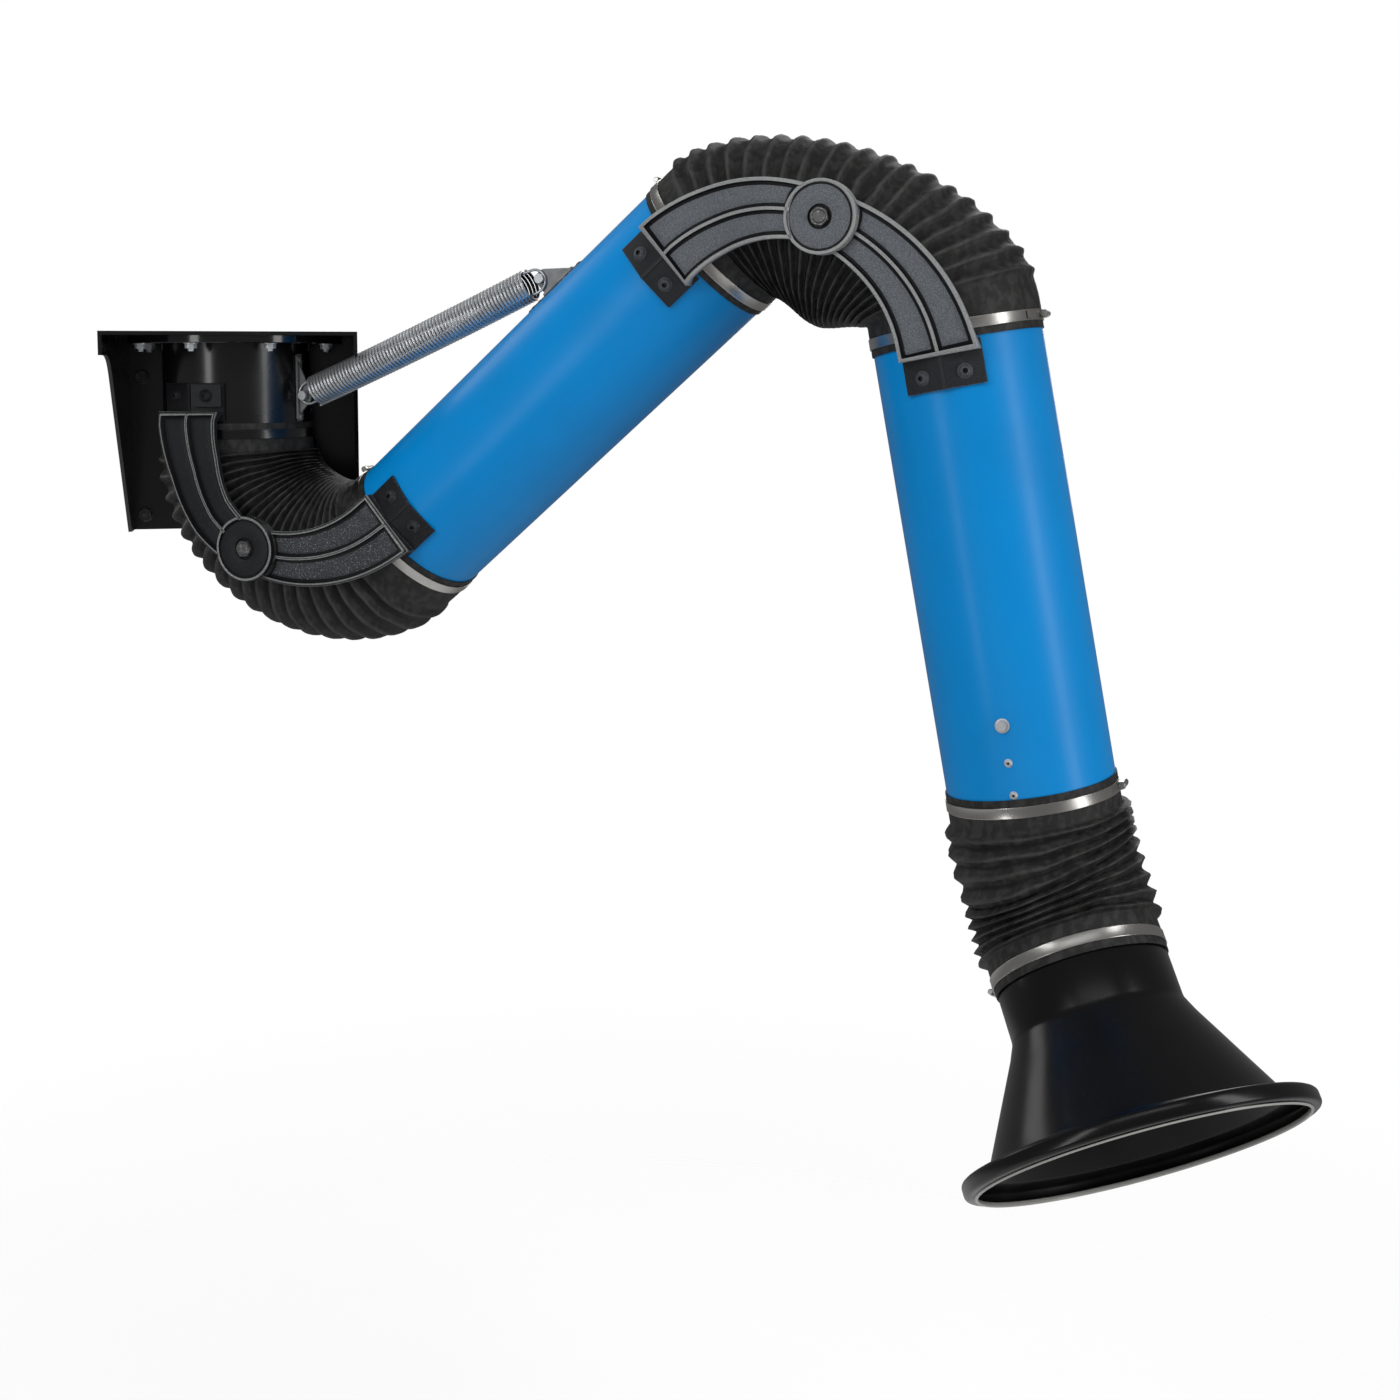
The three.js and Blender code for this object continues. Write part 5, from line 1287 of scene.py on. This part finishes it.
class ARM_OT_hood(bpy.types.Operator):
    """Turns the hood with its rolled rim"""

    bl_idname = "arm.hood"
    bl_label = "Hood"

    def execute(self, context):
        place = PLACES["hood"] @ basis((0, 0, 0), (0, 1, 0), (0, 0, 1), (1, 0, 0))
        outside = [(101, 110), (101.5, 110.6), (101.5, 197), (101.8, 200.5), (102.6, 203.5), (104, 206.4)]
        outside += [(mix(101.5, 170, k / 8), mix(204, 330, k / 8)) for k in range(1, 8)]
        outside += [(168, 326.6), (169.4, 328.7), (171.4, 330), (174, 330.6), (186, 331.8), (196, 333)]
        for degrees in range(-70, 91, 20):
            angle = math.radians(degrees)
            outside.append((197.4 + 5.6 * math.cos(angle), (338.6 if degrees < 0 else 345.4) + 5.6 * math.sin(angle)))
        outside += [(193.2, 351), (192.5, 351.3)]
        for degrees in range(20, 201, 30):
            angle = math.radians(degrees)
            outside.append((190.3 + 1.9 * math.cos(angle), 352.1 + 1.9 * math.sin(angle)))
        outside += [(188.4, 349.6), (189.2, 348.4), (190.6, 348.2)]
        inside = [(196.6, 349.1)]
        for degrees in range(70, -71, -20):
            angle = math.radians(degrees)
            inside.append((197.4 + 3.8 * math.cos(angle), (338.9 if degrees < 0 else 345.2) + 3.8 * math.sin(angle)))
        inside += [(186, 333.7), (174, 332.4), (168.6, 331), (102, 206.5), (99.7, 201), (99.7, 110.6), (100.2, 110)]
        shape = Shape()
        # Marks the lip bead for the hood paint's painted highlight.
        lip = [1.0 if r < 192.4 and h > 348 else 0.0 for r, h in outside + inside]
        shape.turned(place, outside + inside, 144, True, lip)
        piece("hood_spun", shape, finish_for("hood_black"), "hood", ["hood"], 0.0, 50,
              finish_for("hood_inside"), 144 * len(outside))
        return {"FINISHED"}


class ARM_OT_gimbal(bpy.types.Operator):
    """Dresses the straps, ring and pins inside the hood hose"""

    bl_idname = "arm.gimbal"
    bl_label = "Gimbal"

    def execute(self, context):
        names = [*sides_of("tube_yoke"), *sides_of("tube_yoke_pin"), "gimbal_ring"]
        names += [f"hood_yoke_{level}" for level in ("upper", "lower")]
        names += [f"hood_yoke_pin_{level}" for level in ("upper", "lower")]
        dress(names, finish_for("anchor_zinc"))
        return {"FINISHED"}


class ARM_OT_stage(bpy.types.Operator):
    """Sets the floor, the soft lights, the pale surroundings and the camera"""

    bl_idname = "arm.stage"
    bl_label = "Stage"

    def execute(self, context):
        context.scene.view_settings.view_transform = "Standard"
        self.floor()
        self.surroundings(context.scene)
        self.light("key", (-1.9, -2.6, 1.9), (0.35, -0.4, 0.0), 2.4, 2.4, 78, False)
        self.light("fill", (2.6, -2.4, 0.6), (0.5, -0.5, 0.0), 1.8, 2.4, 31, False)
        self.light("top", (0.5, -0.3, 2.6), (0.5, -0.5, 0.0), 2.6, 2.0, 30, False)
        self.light("strip left", (-2.0, -2.5, 0.2), (0.0, -0.2, 0.0), 0.5, 2.6, 15)
        self.light("strip right", (2.3, -2.3, 0.1), (0.3, -0.3, 0.0), 0.5, 2.6, 15)
        self.light("strip over", (0.1, -2.5, 1.5), (0.2, -0.4, 0.0), 2.4, 0.3, 5)
        self.light("low", (0.4, -2.6, -0.9), (0.5, -0.5, -0.1), 2.0, 0.8, 8, False)
        self.light("rim", (1.9, 1.6, 0.9), (0.6, -0.5, 0.0), 1.2, 2.4, 24)
        self.light("back", (-1.6, 1.7, 0.8), (0.4, -0.4, 0.0), 1.4, 2.2, 14)
        self.camera(context.scene)
        return {"FINISHED"}

    def floor(self):
        steps = [2 * math.pi * k / 96 for k in range(96)]
        f = Finish("pale_floor")
        grain = f.cloud(3, 3)
        reach = f.node("ShaderNodeVectorMath", {"operation": "LENGTH"}, {0: f.place}, "Value")
        shade = f.blend(grain, (0.92, 0.92, 0.92), (0.95, 0.95, 0.95))
        material = f.surface(base_color=shade, roughness=0.75 + grain * 0.1, alpha=0.5 - 0.5 * f.step(reach, 0.4, 2.6))
        mesh = bpy.data.meshes.new("pale_floor")
        mesh.from_pydata([(3.2 * math.cos(a), 3.2 * math.sin(a), 0) for a in steps], [], [range(96)])
        mesh.materials.append(material)
        floor = bpy.data.objects.new("pale_floor", mesh)
        floor.location = (0.4, -0.6, -1.6)
        bpy.context.scene.collection.objects.link(floor)

    def surroundings(self, scene):
        """White to the eye, softer as a source of light and dim in reflections."""
        world = bpy.data.worlds.new("pale_surroundings")
        scene.world = world
        world.use_nodes = True
        nodes, links = world.node_tree.nodes, world.node_tree.links
        path = nodes.new("ShaderNodeLightPath")
        chosen = nodes["Background"]
        chosen.inputs["Strength"].default_value = 0.32
        for ray, strength in (("Is Glossy Ray", 0.16), ("Is Camera Ray", 1.0)):
            other = nodes.new("ShaderNodeBackground")
            other.inputs["Strength"].default_value = strength
            both = nodes.new("ShaderNodeMixShader")
            links.new(path.outputs[ray], both.inputs[0])
            links.new(chosen.outputs[0], both.inputs[1])
            links.new(other.outputs[0], both.inputs[2])
            chosen = both
        for node in nodes:
            if node.type == "BACKGROUND":
                node.inputs["Color"].default_value = (1, 1, 1, 1)
        links.new(chosen.outputs[0], nodes["World Output"].inputs["Surface"])

    def light(self, name, origin, aim, width, height, power, mirrored=True):
        data = bpy.data.lights.new(name, "AREA")
        data.shape = "RECTANGLE"
        data.size, data.size_y, data.energy = width, height, power
        lamp = bpy.data.objects.new(name, data)
        lamp.location = origin
        lamp.rotation_euler = (Vector(aim) - Vector(origin)).to_track_quat("-Z", "Y").to_euler()
        lamp.visible_camera = False
        lamp.visible_glossy = mirrored
        bpy.context.scene.collection.objects.link(lamp)

    def camera(self, scene):
        data = bpy.data.cameras.new("camera")
        data.sensor_width = 36
        data.lens = 44.02
        data.shift_y = -0.13
        data.dof.use_dof = False
        seen = bpy.data.objects.new("camera", data)
        seen.location = (0.1583, -2.6736, 0.0985)
        seen.rotation_euler = (math.radians(90 - 5.068), 0, -math.radians(11.484))
        scene.collection.objects.link(seen)
        scene.camera = seen


PIECES = (
    ARM_OT_bracket, ARM_OT_collar, ARM_OT_castings, ARM_OT_pivots, ARM_OT_tubes, ARM_OT_hoses, ARM_OT_clamps,
    ARM_OT_spring, ARM_OT_anchors, ARM_OT_hood, ARM_OT_gimbal, ARM_OT_stage,
)


class ARM_PT_sidebar(bpy.types.Panel):
    """Lists the arm's pieces, sizes and colours"""

    bl_idname = "ARM_PT_sidebar"
    bl_label = "Extraction Arm"
    bl_space_type = "VIEW_3D"
    bl_region_type = "UI"
    bl_category = "Extraction Arm"

    def draw(self, context):
        for kind in PIECES:
            self.layout.operator(kind.bl_idname)
        for group in (context.scene.arm_sizes, context.scene.arm_colours):
            for name in group.__annotations__:
                self.layout.prop(group, name)


CLASSES = (ArmColours, ArmSizes, *PIECES, ARM_PT_sidebar)


def register():
    """Adds the classes and the scene's settings."""
    for kind in CLASSES:
        bpy.utils.register_class(kind)
    bpy.types.Scene.arm_colours = PointerProperty(type=ArmColours)
    bpy.types.Scene.arm_sizes = PointerProperty(type=ArmSizes)


def unregister():
    """Takes the classes and the scene's settings away."""
    del bpy.types.Scene.arm_sizes
    del bpy.types.Scene.arm_colours
    for kind in reversed(CLASSES):
        bpy.utils.unregister_class(kind)


def main():
    """Builds every piece in order."""
    register()
    for kind in PIECES:
        group, name = kind.bl_idname.split(".")
        getattr(getattr(bpy.ops, group), name)()


if __name__ == "__main__":
    main()
